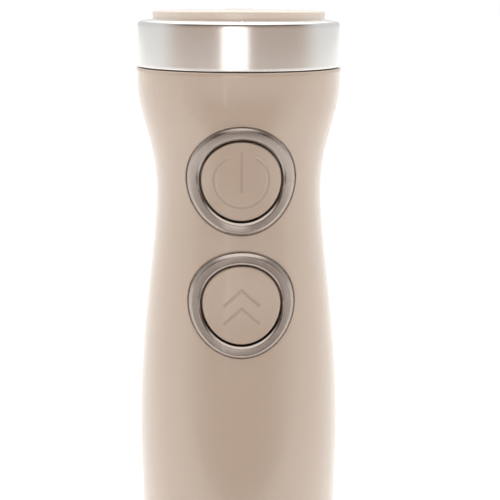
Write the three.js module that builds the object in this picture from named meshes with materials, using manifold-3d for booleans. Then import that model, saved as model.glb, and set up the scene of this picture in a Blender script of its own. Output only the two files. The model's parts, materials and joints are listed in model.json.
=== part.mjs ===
import * as THREE from 'three';
import { mergeVertices } from 'three/addons/utils/BufferGeometryUtils.js';
import Module from 'manifold-3d';

// An immersion blender: a motor handle on a detachable blending leg.
// Millimetres, +Z up, buttons towards -Y. The origin is the centre of the guard's rim,
// on which the blender stands. The handle is drawn from its own foot, the leg from the rim.

// ---------------------------------------------------------------- Driving dimensions

// Fits
const gap = 0.3; // between pieces that touch or slide
const runningGap = 0.6; // around what spins
const screwFit = 0.2; // around a screw's shank

// Overall
const legLength = 208; // rim to the joint between leg and handle
const socketDepth = 22; // floor of the motor room above the joint
const fanRoom = 12; // between that floor and the motor
const motorLength = 60; // can and end cap together
const turboRise = 15; // lower button above the motor
const buttonSpacing = 34.2;
const powerDrop = 28.8; // upper button below the ring

// Motor
const motorRadius = 21;
const canWall = 1.4;
const shaftRadius = 2.5;
const magnetThickness = 3;
const magnetAngle = 2.1; // radians that one magnet spans
const endCapHeight = 10;
const commutatorRadius = 6;
const brushWidth = 5;
const bearingRadius = 6.5;
const bearingHeight = 3.4;
const mountHeight = 6; // rubber rings around the motor
const frameBoreGap = 1.3; // motor to frame
const frameWall = 2.5;
const mountGroove = 0.9; // groove in the frame for a rubber ring

// Handle shell
const shellWall = 2.4;
const airGap = 4.4; // cooling air between frame and shell
const shoulderRadius = 29.16; // under the ring
const shoulderDrop = 4.3;
const waistRadius = 24.46;
const waistDrop = 34.4; // waist below the ring
const gripDrop = 120.1; // full grip below the ring
const footTaper = 34; // height of the narrowing foot
const ventCount = 5;
const ventPitch = 4.8;
const ventHeight = 2.2;
const ventWidth = 24;

// Ring, deck and dial
const grooveWidth = 0.5; // between shell and ring
const ringHeight = 12.2;
const ringStep = 0.16; // ring narrower than the shell below it
const ringTaper = 0.7; // ring narrower at its top
const ringWall = 1.4;
const lipWidth = 4.9; // ring edge to dial
const lipRise = 0.7;
const dialRise = 3.4; // crown above the ring's edge
const dialWall = 2.4;
const spindleRadius = 3;
const deckThickness = 3;

// Buttons
const capRadius = 10.75;
const capTravel = 1.6;
const capGap = 0.75; // cap to bezel
const bezelWidth = 3.15;
const bezelProud = 0.9;
const bezelSeat = 0.6; // depth of the bezel's seat in the shell
const skirtWall = 1.05;
const skirtGrip = 1.9; // skirt below the bezel's lowest edge
const flangeThickness = 1.5;
const stemLength = 1.4;
const stemRadius = 3;
const markDepth = 0.35; // engraved marks
const markWidth = 0.7;
const springRadius = 7;
const springWire = 0.4; // radius of the wire

// Boards and switches
const boardThickness = 1.6;
const boardWidth = 27;
const switchSize = 6.5;
const switchHeight = 3.5;
const plungerRadius = 1.7;
const plungerProud = 2.2;
const controlBoardPlace = 8; // front face behind the axis
const railWall = 1.6;
const potRadius = 6.2;
const potDrop = 12; // potentiometer below the ring

// Screws
const screwShank = 1.3;
const screwHead = 2.5;
const screwHeadHeight = 1.6;

// Cord entry
const glandDrop = 14; // below the ring
const glandBore = 3.75; // radius
const glandNeck = 5.5;
const glandRadius = 7.4;
const clampPlace = 16.5; // middle of the clamp behind the axis

// Joint between leg and handle
const spigotRadius = 17;
const spigotLength = 20;
const spigotWall = 3;
const latchHeight = 14; // latch ring above the joint
const latchWire = 0.6; // radius of the wire
const latchBite = 1.5; // how far the ring reaches into the spigot
const latchRoom = 5.3; // room for the ring beside the socket
const collarWall = 3.1;
const releaseRadius = 7;
const releaseTravel = 2.2;
const releaseProud = 0.7;
const couplerRadius = 4.8; // corners of the male hexagon
const cupRadius = 7.6;

// Leg
const tubeRadius = 15; // above the guard
const tubeTopRadius = 17; // below the flare
const tubeWall = 1;
const flareHeight = 18;
const flareStep = 3.9; // flare narrower than the handle's foot
const bandHeight = 10; // cream band between tube and handle
const bushRadius = 4.6;
const bushLength = 16;

// Guard and blade
const bellRadius = 33;
const bellHeight = 36;
const bellWall = 1.4;
const bellRim = 10; // upright part of the wall
const neckHeight = 14;
const archWidth = 15;
const archHeight = 11;
const archCount = 4;
const bladeTipGap = 9; // blade to guard
const bladeHeight = 11.5;
const bladeThickness = 1.6;
const bladeWidth = 8.5;
const bossRadius = 8;
const bossFoot = 18;

// ---------------------------------------------------------------- Worked-out dimensions

const motorFoot = socketDepth + fanRoom;
const motorTop = motorFoot + motorLength;
const turboHeight = motorTop + turboRise;
const powerHeight = turboHeight + buttonSpacing;
const handleHeight = powerHeight + powerDrop;

const frameBore = motorRadius + frameBoreGap;
const frameRadius = frameBore + frameWall;
const frameFoot = motorFoot - 3.7;
const bridgeFoot = motorTop + 1;
const bridgeTop = bridgeFoot + 2.3;
const gripRadius = frameRadius + airGap + shellWall;
const canTop = motorTop - endCapHeight;
const mountHeights = [motorFoot + 4, canTop - mountHeight - 2];

const socketRadius = spigotRadius + gap;
const latchRadius = socketRadius + latchRoom;
const footRadius = latchRadius + collarWall + gap + shellWall;

const ringRadius = shoulderRadius - ringStep;
const dialRadius = ringRadius - lipWidth;
const dialCrown = handleHeight + ringHeight + dialRise;
const potTop = handleHeight - potDrop;
const deckFloor = handleHeight + 1;

const bezelHole = capRadius + capGap;
const skirtRadius = bezelHole + skirtWall;
const bezelRadius = bezelHole + bezelWidth;
const flangeRadius = skirtRadius - gap;

const boardFoot = bridgeTop + gap;
const railInner = boardWidth / 2 - 1.2;
const railOuter = boardWidth / 2 + gap + railWall;
const railTop = handleHeight - 10;
const screwPlace = (railInner + railOuter) / 2;
const glandHeight = handleHeight - glandDrop;

const flareRadius = footRadius - flareStep;
const tubeTop = legLength - bandHeight;
const tubeFoot = bellHeight + gap;
const carrierTop = tubeTop - flareHeight - 4;
const carrierFoot = carrierTop - bushLength;
const blockFoot = bellHeight + 1;

// ---------------------------------------------------------------- Solids

const wasm = await Module();
wasm.setup();

const beyond = 30; // how far a cutting body runs past what it cuts
const point = (x, y) => new THREE.Vector2(x, y);
const bothSides = [-1, 1];

// A closed geometry as a solid that can be joined and cut.
function toSolid(geometry) {
  let bare = geometry;
  if (geometry.attributes.normal) {
    bare = geometry.clone();
    bare.deleteAttribute('normal');
    bare.deleteAttribute('uv');
    bare = mergeVertices(bare);
  }
  const corners = bare.index.array;
  const kept = [];
  for (let i = 0; i < corners.length; i += 3) {
    const triangle = [corners[i], corners[i + 1], corners[i + 2]];
    if (new Set(triangle).size === 3) kept.push(...triangle);
  }
  const vertProperties = new Float32Array(bare.attributes.position.array);
  const triVerts = new Uint32Array(kept);
  return new wasm.Manifold(new wasm.Mesh({ numProp: 3, vertProperties, triVerts }));
}

function toGeometry(solid) {
  const mesh = solid.getMesh();
  const geometry = new THREE.BufferGeometry();
  geometry.setAttribute('position', new THREE.BufferAttribute(mesh.vertProperties, 3));
  geometry.setIndex(new THREE.BufferAttribute(mesh.triVerts, 1));
  return geometry;
}

const combine = (first, rest, step) =>
  toGeometry(rest.reduce((solid, next) => step(solid, toSolid(next)), toSolid(first)));
const join = (first, ...rest) => combine(first, rest, (a, b) => a.add(b));
const cut = (first, ...rest) => combine(first, rest, (a, b) => a.subtract(b));
const common = (first, ...rest) => combine(first, rest, (a, b) => a.intersect(b));

// A solid of revolution about Z. The [radius, height] pairs run up the outside and back
// down the inside; a profile that doesn't start on the axis closes on itself.
function turned(pairs, sides = 20) {
  const points = pairs.map(([radius, height]) => point(radius, height));
  if (pairs[0][0] > 0) points.push(points[0].clone());
  return new THREE.LatheGeometry(points, sides).rotateX(Math.PI / 2);
}

// A ring of plain rectangular section about Z.
const tube = (outer, inner, low, high, sides) =>
  turned([[outer, low], [outer, high], [inner, high], [inner, low]], sides);

// Rods along Z, Y and X, between two places on that axis.
const rod = (radius, low, high, sides = 16) =>
  new THREE.CylinderGeometry(radius, radius, high - low, sides)
    .rotateX(Math.PI / 2)
    .translate(0, 0, (low + high) / 2);
const rodAlongY = (radius, low, high, sides) => rod(radius, low, high, sides).rotateX(-Math.PI / 2);
const rodAlongX = (radius, low, high, sides) => rod(radius, low, high, sides).rotateY(Math.PI / 2);

// A rod along X on the left (-1) or right (1), between two distances from the middle.
const sideRod = (side, radius, from, to, sides) =>
  rodAlongX(radius, Math.min(side * from, side * to), Math.max(side * from, side * to), sides);

// A box between two corners.
function block([x0, y0, z0], [x1, y1, z1]) {
  const box = new THREE.BoxGeometry(x1 - x0, y1 - y0, z1 - z0);
  return box.translate((x0 + x1) / 2, (y0 + y1) / 2, (z0 + z1) / 2);
}

// A flat outline raised along Z.
function raised(shape, low, high, curveSegments = 12) {
  const options = { depth: high - low, bevelEnabled: false, curveSegments };
  return new THREE.ExtrudeGeometry(shape, options).translate(0, 0, low);
}

// A round wire along a curve.
function wire(extrudePath, radius, steps, sides = 8) {
  const section = new THREE.Shape().absarc(0, 0, radius, 0, 2 * Math.PI);
  const options = { extrudePath, steps, bevelEnabled: false, curveSegments: sides };
  return new THREE.ExtrudeGeometry(section, options);
}

// ---------------------------------------------------------------- Looks

const looks = {
  cream: { color: 0xc6b3a5, roughness: 0.22, metalness: 0 },
  satin: { color: 0xb9b6b3, roughness: 0.32, metalness: 1 },
  brushed: { color: 0xb4b4b2, roughness: 0.38, metalness: 1 },
  steel: { color: 0x9a9c9e, roughness: 0.3, metalness: 1 },
  bronze: { color: 0xa57c4a, roughness: 0.45, metalness: 1 },
  copper: { color: 0xb56a3c, roughness: 0.4, metalness: 1 },
  black: { color: 0x242424, roughness: 0.55, metalness: 0 },
  grey: { color: 0x6f6c69, roughness: 0.6, metalness: 0 },
  white: { color: 0xd9d6cf, roughness: 0.5, metalness: 0 },
  rubber: { color: 0x1c1c1c, roughness: 0.9, metalness: 0 },
  board: { color: 0x2f5a3a, roughness: 0.5, metalness: 0 },
  ferrite: { color: 0x3a3a3c, roughness: 0.8, metalness: 0.1 },
};

function piece(parent, name, geometry, look) {
  const clean = toGeometry(toSolid(geometry));
  const mesh = new THREE.Mesh(clean, new THREE.MeshStandardMaterial(looks[look]));
  mesh.name = name;
  parent.add(mesh);
  return mesh;
}

// ---------------------------------------------------------------- Handle shell

// The shell's outline from its foot to the ring: a foot that widens to the grip, a waist
// at the upper button and a shoulder under the ring.
function shellOutline(offset, fineness) {
  const fromTop = (drop) => handleHeight - drop;
  const foot = new THREE.CubicBezierCurve(
    point(footRadius, 0), point(footRadius + 1.4, footTaper * 0.35),
    point(gripRadius, footTaper * 0.6), point(gripRadius, footTaper));
  const lower = new THREE.CubicBezierCurve(
    point(gripRadius, fromTop(gripDrop)), point(gripRadius, fromTop(gripDrop - 40.4)),
    point(waistRadius, fromTop(waistDrop + 16.8)), point(waistRadius, fromTop(waistDrop)));
  const upper = new THREE.CubicBezierCurve(
    point(waistRadius, fromTop(waistDrop)), point(waistRadius, fromTop(waistDrop - 13.8)),
    point(shoulderRadius, fromTop(shoulderDrop + 10)), point(shoulderRadius, fromTop(shoulderDrop)));
  return [
    ...foot.getPoints(Math.round(3 * fineness)),
    ...lower.getPoints(Math.round(8 * fineness)),
    ...upper.getPoints(Math.round(6 * fineness)).slice(1),
    point(shoulderRadius, handleHeight),
  ].map(({ x, y }) => [x + offset, y]);
}

// Radius of the shell's outside at a height.
function shellRadius(height) {
  const outline = shellOutline(0, 4);
  const above = outline.findIndex(([, z]) => z >= height);
  const [r1, z1] = outline[above];
  const [r0, z0] = outline[above - 1];
  return r0 + ((r1 - r0) * (height - z0)) / (z1 - z0);
}

const shellSides = 36;

// Everything inside the shell's outline moved by an offset, past both ends of the shell.
function insideShell(offset, fineness = 1) {
  const outline = shellOutline(offset, fineness);
  return turned([
    [0, -beyond], [outline[0][0], -beyond], ...outline,
    [outline.at(-1)[0], handleHeight + beyond], [0, handleHeight + beyond],
  ], shellSides);
}

const insideWall = insideShell(-shellWall - gap, 0.6);

const buttons = [
  { name: 'power', height: powerHeight, mark: powerMark() },
  { name: 'turbo', height: turboHeight, mark: boostMark() },
].map((button) => {
  const surface = shellRadius(button.height);
  const sideFall = surface - Math.sqrt(surface ** 2 - skirtRadius ** 2);
  return { ...button, surface, skirtDepth: sideFall + skirtGrip };
});

// The switch board stands far enough behind the upper button for its travel.
const switchBoardPlace = buttons[0].surface - buttons[0].skirtDepth - flangeThickness
  - stemLength - plungerProud - switchHeight - 3 * gap;
const switchFace = -switchBoardPlace - gap - switchHeight;
const glandSeat = shellRadius(glandHeight) - 0.9;

function housing() {
  const edge = 0.4; // small bevels at both ends
  const top = handleHeight - grooveWidth / 2;
  const outer = shellOutline(0, 1).slice(1, -1);
  const inner = shellOutline(-shellWall, 0.6).slice(0, -1);
  const shell = turned([
    [footRadius - edge, 0], [footRadius, edge], ...outer,
    [shoulderRadius, top - edge], [shoulderRadius - edge, top],
    [shoulderRadius - shellWall, top], ...inner.reverse(),
  ], shellSides);
  const outside = -gripRadius - beyond;
  const seats = buttons.flatMap(({ height }) => {
    const hole = rodAlongY(skirtRadius + gap, outside, -skirtRadius, 28);
    const rebate = rodAlongY(bezelRadius + gap, outside, -skirtRadius, 28);
    return [
      hole.translate(0, 0, height),
      cut(rebate.translate(0, 0, height), insideShell(-bezelSeat)),
    ];
  });
  const windows = bothSides.map((side) =>
    sideRod(side, releaseRadius + gap, latchRadius, -outside, 24).translate(0, 0, latchHeight));
  const glandHole = rodAlongY(glandNeck + gap, clampPlace, -outside).translate(0, 0, glandHeight);
  const glandFace = rodAlongY(glandRadius + gap, glandSeat, -outside, 24).translate(0, 0, glandHeight);
  const vents = Array.from({ length: ventCount }, (_, i) => {
    const low = frameFoot + (i + 0.5) * ventPitch;
    return block([-ventWidth / 2, 0, low], [ventWidth / 2, -outside, low + ventHeight]);
  });
  return cut(shell, ...seats, ...windows, glandHole, glandFace, ...vents);
}

// Metal band around the top, with a lip that runs in to the dial and an index notch.
function topRing() {
  const foot = handleHeight + grooveWidth / 2;
  const edge = handleHeight + ringHeight;
  const topRadius = ringRadius - ringTaper;
  const bore = dialRadius + gap;
  const inner = ringRadius - ringWall;
  const band = turned([
    [ringRadius - 0.3, foot], [ringRadius, foot + 0.3], [topRadius + 0.2, edge - 0.9],
    [topRadius - 0.4, edge], [bore, edge + lipRise], [bore, edge - 0.5],
    [inner, edge - ringWall - 0.2], [inner, foot],
  ], shellSides);
  const notch = block([-0.5, -topRadius + 1.2, edge], [0.5, -bore - 0.8, edge + lipRise]);
  return cut(band, notch);
}

// Deck that closes the shell under the ring, with posts for its screws and a saddle
// over the cord's path.
function topDeck() {
  const skirt = shoulderRadius - shellWall - gap;
  const upstand = ringRadius - ringWall - gap;
  const rim = handleHeight + ringHeight - ringWall - 0.2 - gap;
  const ledge = handleHeight - grooveWidth / 2 + gap;
  const hub = spindleRadius + 0.5;
  const top = deckFloor + deckThickness;
  const plate = turned([
    [skirt, ledge - 5], [skirt, ledge], [upstand, ledge], [upstand, rim], [upstand - 2.2, rim],
    [upstand - 2.2, top], [hub + 2.5, top], [hub + 2.5, top + 2], [hub, top + 2], [hub, deckFloor],
    [skirt - 2, deckFloor], [skirt - 2, ledge - 5],
  ], 24);
  const posts = bothSides.map((side) =>
    rod(screwHead + 0.6, railTop + gap, deckFloor + 1, 16).translate(side * screwPlace, 0, 0));
  const holes = bothSides.map((side) =>
    rod(screwShank + screwFit, railTop, top + 1, 12).translate(side * screwPlace, 0, 0));
  const saddle = block(
    [-10, clampPlace - 3, glandHeight + glandBore - 0.6], [10, clampPlace + 3, deckFloor + 1]);
  const groove = rodAlongY(glandBore, 0, gripRadius, 16).translate(0, 0, glandHeight);
  return cut(join(plate, ...posts, saddle), ...holes, groove);
}

// Turning cap inside the ring: two scoops leave a finger rib across it.
function speedDial() {
  const foot = handleHeight + 7;
  const under = dialCrown - dialWall;
  const cap = turned([
    [0, under], [dialRadius - dialWall, under - 0.3], [dialRadius - dialWall, foot],
    [dialRadius, foot], [dialRadius, dialCrown - 1.3], [dialRadius - 0.18, dialCrown - 0.88],
    [dialRadius - 0.6, dialCrown - 0.62], [dialRadius * 0.7, dialCrown - 0.29],
    [dialRadius * 0.4, dialCrown - 0.09], [0, dialCrown],
  ], 30);
  const ribHalf = 3.5;
  const scoopRadius = dialRadius - 10;
  const reach = Math.acos(ribHalf / scoopRadius);
  const scoops = [0, Math.PI].map((turn) => {
    const outline = new THREE.Shape().absarc(0, 0, scoopRadius, turn - reach, turn + reach);
    return raised(outline, dialCrown - dialWall / 2, dialCrown + 5, 10);
  });
  const boss = tube(spindleRadius + 2, spindleRadius + gap, foot + 0.2, under + 0.5, 16);
  return join(cut(cap, ...scoops), boss);
}

function dialSpindle() {
  const foot = potTop - 4.4;
  const collar = deckFloor - gap;
  const top = dialCrown - dialWall - gap;
  return turned([
    [0, foot], [spindleRadius, foot], [spindleRadius, collar - 1.4],
    [spindleRadius + 1.8, collar - 1.4], [spindleRadius + 1.8, collar], [spindleRadius, collar],
    [spindleRadius, top], [0, top],
  ], 14);
}

// A cross-head screw, its head's underside at z = 0 and its shank down.
function screw(length) {
  const body = turned([
    [0, -length], [screwShank * 0.6, -length], [screwShank, -length + 1], [screwShank, 0],
    [screwHead, 0], [screwHead, screwHeadHeight * 0.6], [screwHead * 0.6, screwHeadHeight],
    [0, screwHeadHeight],
  ], 10);
  const [long, narrow] = [1.5, 0.35];
  const [low, high] = [screwHeadHeight - 0.8, screwHeadHeight + 1];
  const cross = join(
    block([-long, -narrow, low], [long, narrow, high]),
    block([-narrow, -long, low], [narrow, long, high]));
  return cut(body, cross);
}

// ---------------------------------------------------------------- Push buttons

// Silver ring around a button, seated in the shell and curved with it.
function bezel({ height, surface, skirtDepth }) {
  const outside = -gripRadius - beyond;
  const round = (radius, to) => rodAlongY(radius, outside, to, 28).translate(0, 0, height);
  const flange = common(round(bezelRadius, 0), insideShell(bezelProud));
  const skirt = common(round(skirtRadius, -surface + skirtDepth), insideShell(0));
  return cut(join(cut(flange, insideShell(gap - bezelSeat)), skirt), round(bezelHole, 1));
}

// Power mark: a ring open at its top with a bar that stands in the opening.
function powerMark() {
  const [markRadius, opening, drop] = [7.2, 0.52, -0.4];
  const half = markWidth / 2;
  const from = Math.PI / 2 + opening;
  const to = Math.PI * 2.5 - opening;
  const ring = new THREE.Shape()
    .absarc(0, drop, markRadius + half, from, to)
    .absarc(0, drop, markRadius - half, to, from, true);
  const bar = new THREE.Shape([point(-half, -2.7), point(half, -2.7), point(half, 8), point(-half, 8)]);
  return [ring, bar];
}

// Boost mark: two arrow heads, one above the other.
function boostMark() {
  const [wide, tall, stroke] = [5, 4.5, markWidth * 1.4];
  return [-5.6, -0.6].map((low) => new THREE.Shape([
    point(-wide, low), point(0, low + tall), point(wide, low),
    point(wide, low + stroke), point(0, low + tall + stroke), point(-wide, low + stroke),
  ]));
}

// Cap that follows the shell, with an engraved mark, a flange behind the bezel's skirt
// and a stem that meets the switch.
function buttonCap({ height, surface, skirtDepth, mark }) {
  const outside = -gripRadius - beyond;
  const flangeFace = -surface + skirtDepth + gap;
  const flangeBack = flangeFace + flangeThickness;
  const round = (radius, from, to, sides) => rodAlongY(radius, from, to, sides).translate(0, 0, height);
  const head = common(round(capRadius, outside, flangeFace + 0.2, 24), insideShell(gap));
  const flange = round(flangeRadius, flangeFace, flangeBack, 20);
  const stem = round(stemRadius, flangeBack - 0.2, switchFace - plungerProud - gap, 12);
  const marks = mark.map((outline) => {
    const cutter = raised(outline, 0, -outside).rotateX(Math.PI / 2);
    return cut(cutter.translate(0, 0, height), insideShell(gap - markDepth));
  });
  return cut(join(head, flange, stem), ...marks);
}

// Coil spring between a cap's flange and the switch board.
function buttonSpring({ height, surface, skirtDepth }) {
  const from = -surface + skirtDepth + flangeThickness + 2 * gap + springWire;
  const to = -switchBoardPlace - gap - springWire;
  const turns = 2.5;
  const coil = new THREE.Curve();
  coil.getPoint = (t) => {
    const angle = turns * 2 * Math.PI * t;
    const [across, up] = [springRadius * Math.cos(angle), springRadius * Math.sin(angle)];
    return new THREE.Vector3(across, from + (to - from) * t, height + up);
  };
  return wire(coil, springWire, 26, 2);
}

function switchBody({ height }) {
  const half = switchSize / 2;
  const body = block([-half, switchFace, height - half], [half, switchFace + switchHeight, height + half]);
  const well = rodAlongY(plungerRadius + gap, switchFace - 1, switchFace + capTravel + 1.4, 16);
  return cut(body, well.translate(0, 0, height));
}

const switchPlunger = ({ height }) =>
  rodAlongY(plungerRadius, switchFace - plungerProud, switchFace + 0.9, 16).translate(0, 0, height);

// ---------------------------------------------------------------- Boards and cord entry

// An upright board between two heights, its front face at a place along Y.
const board = (place, low, high) =>
  block([-boardWidth / 2, place, low], [boardWidth / 2, place + boardThickness, high]);

function capacitor() {
  const radius = 4.4;
  return rod(radius, boardFoot + 18, boardFoot + 32, 20).translate(5, controlBoardPlace - gap - radius, 0);
}

function potentiometer() {
  const foot = potTop - 7;
  const bracket = block([-4.5, 2, foot], [4.5, controlBoardPlace - gap, potTop]);
  const well = rod(spindleRadius + gap, potTop - 5, potTop + 1, 20);
  return cut(join(rod(potRadius, foot, potTop, 28), bracket), well);
}

// Lead from a brush's terminal up to the control board.
function motorLead(side) {
  const across = 7 * side;
  const route = new THREE.CatmullRomCurve3([
    [across, 7, motorTop + gap], [across, 6.6, bridgeTop], [across, 5.2, boardFoot + 3],
    [across, 5.3, boardFoot + 8], [across, controlBoardPlace - 3 * gap, boardFoot + 11],
  ].map((place) => new THREE.Vector3(...place)));
  return wire(route, 0.8, 10, 2);
}

// Rubber bush in the rear of the shell; its bore is the cord's way in.
function cordGland() {
  const rim = glandNeck + 1;
  const wall = shellRadius(glandHeight - rim) - shellWall;
  const inside = Math.sqrt(wall ** 2 - rim ** 2) - gap;
  const [face, seat, back] = [glandSeat + 3.2, glandSeat + gap, inside - 2];
  return turned([
    [glandNeck, back], [rim, inside - 0.8], [rim, inside], [glandNeck, inside], [glandNeck, seat],
    [glandRadius, seat], [glandRadius, face - 0.6], [glandRadius - 0.6, face],
    [glandBore, face], [glandBore, back],
  ], 20).rotateX(-Math.PI / 2).translate(0, 0, glandHeight);
}

// Bar under the saddle, with a groove for the cord.
function cordClamp() {
  const seam = glandHeight + glandBore - 0.6 - gap;
  const bar = block([-10, clampPlace - 3, glandHeight - glandBore - 2], [10, clampPlace + 3, seam]);
  const room = block([-glandBore - 2, 0, glandHeight], [glandBore + 2, gripRadius, seam + 1]);
  const groove = rodAlongY(glandBore, 0, gripRadius, 16).translate(0, 0, glandHeight);
  return cut(common(bar, insideWall), room, groove);
}

// ---------------------------------------------------------------- Motor and its frame

const bossPlace = frameRadius + 0.8; // screw bosses on the frame's sides
const bossHeight = Math.min((motorFoot + motorTop) / 2, handleHeight - gripDrop);
const bossDepth = 5;
const lipHeight = 2.2; // inward lip under the motor
const bulkhead = 2.4;
const padDepth = 12; // seats on the rails for the deck's screws

// Half of the split cradle around the motor, with two bulkheads that centre it.
function frameHalf(side) {
  const groove = frameBore + mountGroove;
  const lip = motorRadius - 3;
  const top = bridgeFoot - gap;
  const barrel = turned([
    [frameRadius, frameFoot], [frameRadius, top], [frameBore, top],
    ...mountHeights.toReversed().flatMap((low) => [
      [frameBore, low + mountHeight + gap], [groove, low + mountHeight + gap],
      [groove, low - gap], [frameBore, low - gap],
    ]),
    [frameBore, frameFoot + lipHeight], [lip, frameFoot + lipHeight], [lip, frameFoot],
  ], 24);
  const bulkheads = [frameFoot, canTop].map((low) =>
    common(tube(gripRadius, frameRadius - 1, low, low + bulkhead, 24), insideWall));
  const [front, back] = side < 0 ? [-gripRadius, -gap / 2] : [gap / 2, gripRadius];
  const room = block([-gripRadius, front, 0], [gripRadius, back, handleHeight]);
  const bosses = bothSides.map((end) => {
    const [from, to] = [Math.min(0, side * bossDepth), Math.max(0, side * bossDepth)];
    const boss = rodAlongY(screwShank + 1.3, from, to, 10);
    return boss.translate(end * bossPlace, 0, bossHeight);
  });
  const holes = bothSides.flatMap((end) => [
    rodAlongY(screwShank + screwFit, -bossDepth - 1, bossDepth - 1, 10),
    rodAlongY(screwHead + gap, -gripRadius, -bossDepth, 12),
  ].map((hole) => hole.translate(end * bossPlace, 0, bossHeight)));
  const around = rod(frameBore, frameFoot + lipHeight, motorTop, 24);
  return cut(common(join(barrel, ...bulkheads, ...bosses), room), ...holes, around);
}

// The rear half also carries the bridge over the motor and the rails for both boards.
function frameRear() {
  const bridge = cut(
    common(rod(frameRadius, bridgeFoot - gap - 0.1, bridgeTop, 24),
      block([-gripRadius, -16, 0], [gripRadius, gripRadius, handleHeight])),
    rod(12, 0, handleHeight), frontSeat());
  const rails = bothSides.map((side) => {
    const [inner, outer] = [railInner, railOuter].map((place) => side * place);
    return block(
      [Math.min(inner, outer), -switchBoardPlace - 2.5, bridgeTop - 1],
      [Math.max(inner, outer), controlBoardPlace + boardThickness + 2.5, railTop]);
  });
  const pads = bothSides.map((side) =>
    rod(screwHead, railTop - padDepth, railTop, 12).translate(side * screwPlace, 0, 0));
  const frame = common(join(frameHalf(1), bridge, ...rails, ...pads), insideWall);
  const slotHalf = boardWidth / 2 + gap;
  const slots = [-switchBoardPlace, controlBoardPlace].map((place) => block(
    [-slotHalf, place - gap, boardFoot - gap],
    [slotHalf, place + boardThickness + gap, railTop + 1]));
  const holes = bothSides.map((side) =>
    rod(screwShank + screwFit, railTop - 8, railTop + 1, 12).translate(side * screwPlace, 0, 0));
  return cut(frame, ...slots, ...holes);
}

// Room that the bridge leaves over the front half.
const frontSeat = () => block([-gripRadius, -gripRadius, 0], [gripRadius, gap / 2, bridgeFoot]);

function motorCan() {
  const boss = bearingRadius + 1.2;
  const floor = motorFoot + 1.2;
  const inner = motorRadius - canWall;
  return turned([
    [boss, motorFoot - 3], [boss, motorFoot], [motorRadius, motorFoot], [motorRadius, canTop],
    [inner, canTop], [inner, floor], [bearingRadius + gap, floor], [bearingRadius + gap, motorFoot - 2],
    [shaftRadius + runningGap, motorFoot - 2], [shaftRadius + runningGap, motorFoot - 3],
  ], 24);
}

const brushBottom = canTop + 2.4;
const brushInner = commutatorRadius + gap;
const brushTop = brushBottom + 4;

// Plastic cap over the can with the brush holders and the upper bearing's seat.
function motorEndCap() {
  const inner = motorRadius - 2;
  const ceiling = motorTop - 2;
  const seat = bearingRadius + gap;
  const cap = turned([
    [motorRadius, canTop + gap], [motorRadius, motorTop - 1], [motorRadius - 1, motorTop],
    [bearingRadius + 1.2, motorTop], [bearingRadius + 1.2, motorTop + 2.6], [seat, motorTop + 2.6],
    [seat, ceiling + 0.6], [shaftRadius + runningGap, ceiling + 0.6], [shaftRadius + runningGap, ceiling],
    [inner, ceiling], [inner, canTop + gap],
  ], 24);
  const holders = bothSides.map((side) => {
    const [near, far] = [side * (brushInner + 1.5), side * (inner + 0.5)];
    const half = brushWidth / 2 + 1.3;
    return block(
      [Math.min(near, far), -half, brushBottom - 1],
      [Math.max(near, far), half, ceiling + 0.2]);
  });
  const wells = bothSides.map((side) => {
    const [near, far] = [side * brushInner, side * (brushInner + 10)];
    const half = brushWidth / 2 + gap;
    return block(
      [Math.min(near, far), -half, brushBottom - gap],
      [Math.max(near, far), half, brushTop + gap]);
  });
  return cut(join(cap, ...holders), ...wells);
}

function brush(side) {
  const [near, far] = [side * brushInner, side * (brushInner + 8)];
  const half = brushWidth / 2;
  return block([Math.min(near, far), -half, brushBottom], [Math.max(near, far), half, brushTop]);
}

const magnetOuter = motorRadius - canWall - gap;
const magnetInner = magnetOuter - magnetThickness;

function magnet(side) {
  const middle = side < 0 ? Math.PI : 0;
  const [from, to] = [middle - magnetAngle / 2, middle + magnetAngle / 2];
  const section = new THREE.Shape()
    .absarc(0, 0, magnetOuter, from, to)
    .absarc(0, 0, magnetInner, to, from, true);
  return raised(section, motorFoot + 3, canTop - 2, 8);
}

// Slotted core with a winding bulge at each end.
function armature() {
  const core = magnetInner - runningGap;
  const [low, high] = [motorFoot + 7, canTop - 6];
  const stack = rod(core, low, high, 20);
  const slotCount = 10;
  const slots = Array.from({ length: slotCount }, (_, i) => {
    const slot = block([core - 3, -0.8, low - 1], [core + 1, 0.8, high + 1]);
    return slot.rotateZ((2 * Math.PI * i) / slotCount);
  });
  const windings = turned([
    [0, low - 4], [core * 0.55, low - 4], [core * 0.8, low - 2], [core * 0.8, high + 2],
    [core * 0.55, high + 4], [0, high + 4],
  ], 16);
  return cut(join(cut(stack, ...slots), windings), rod(shaftRadius + gap, 0, handleHeight, 12));
}

const commutator = () => tube(commutatorRadius, shaftRadius + gap, canTop - 1.6, motorTop - 2.4, 16);

const mountRing = (low) =>
  tube(frameBore + mountGroove - gap, motorRadius + gap, low, low + mountHeight, 24);

const bearing = (low) => {
  const [outer, bore] = [bearingRadius, shaftRadius + gap];
  const groove = (outer + bore) / 2;
  return turned([
    [outer, low], [outer, low + bearingHeight], [groove + 0.8, low + bearingHeight],
    [groove, low + bearingHeight - 0.5], [groove - 0.8, low + bearingHeight], [bore, low + bearingHeight],
    [bore, low],
  ], 16);
};

// Shaft from the coupler to the upper bearing.
const couplerFoot = 0.8;
const couplerShoulder = 12.3;
const couplerTop = socketDepth - 1.2 - runningGap;
const motorShaft = () => rod(shaftRadius, couplerFoot + 3.5, motorTop + 2.4, 16);

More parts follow.
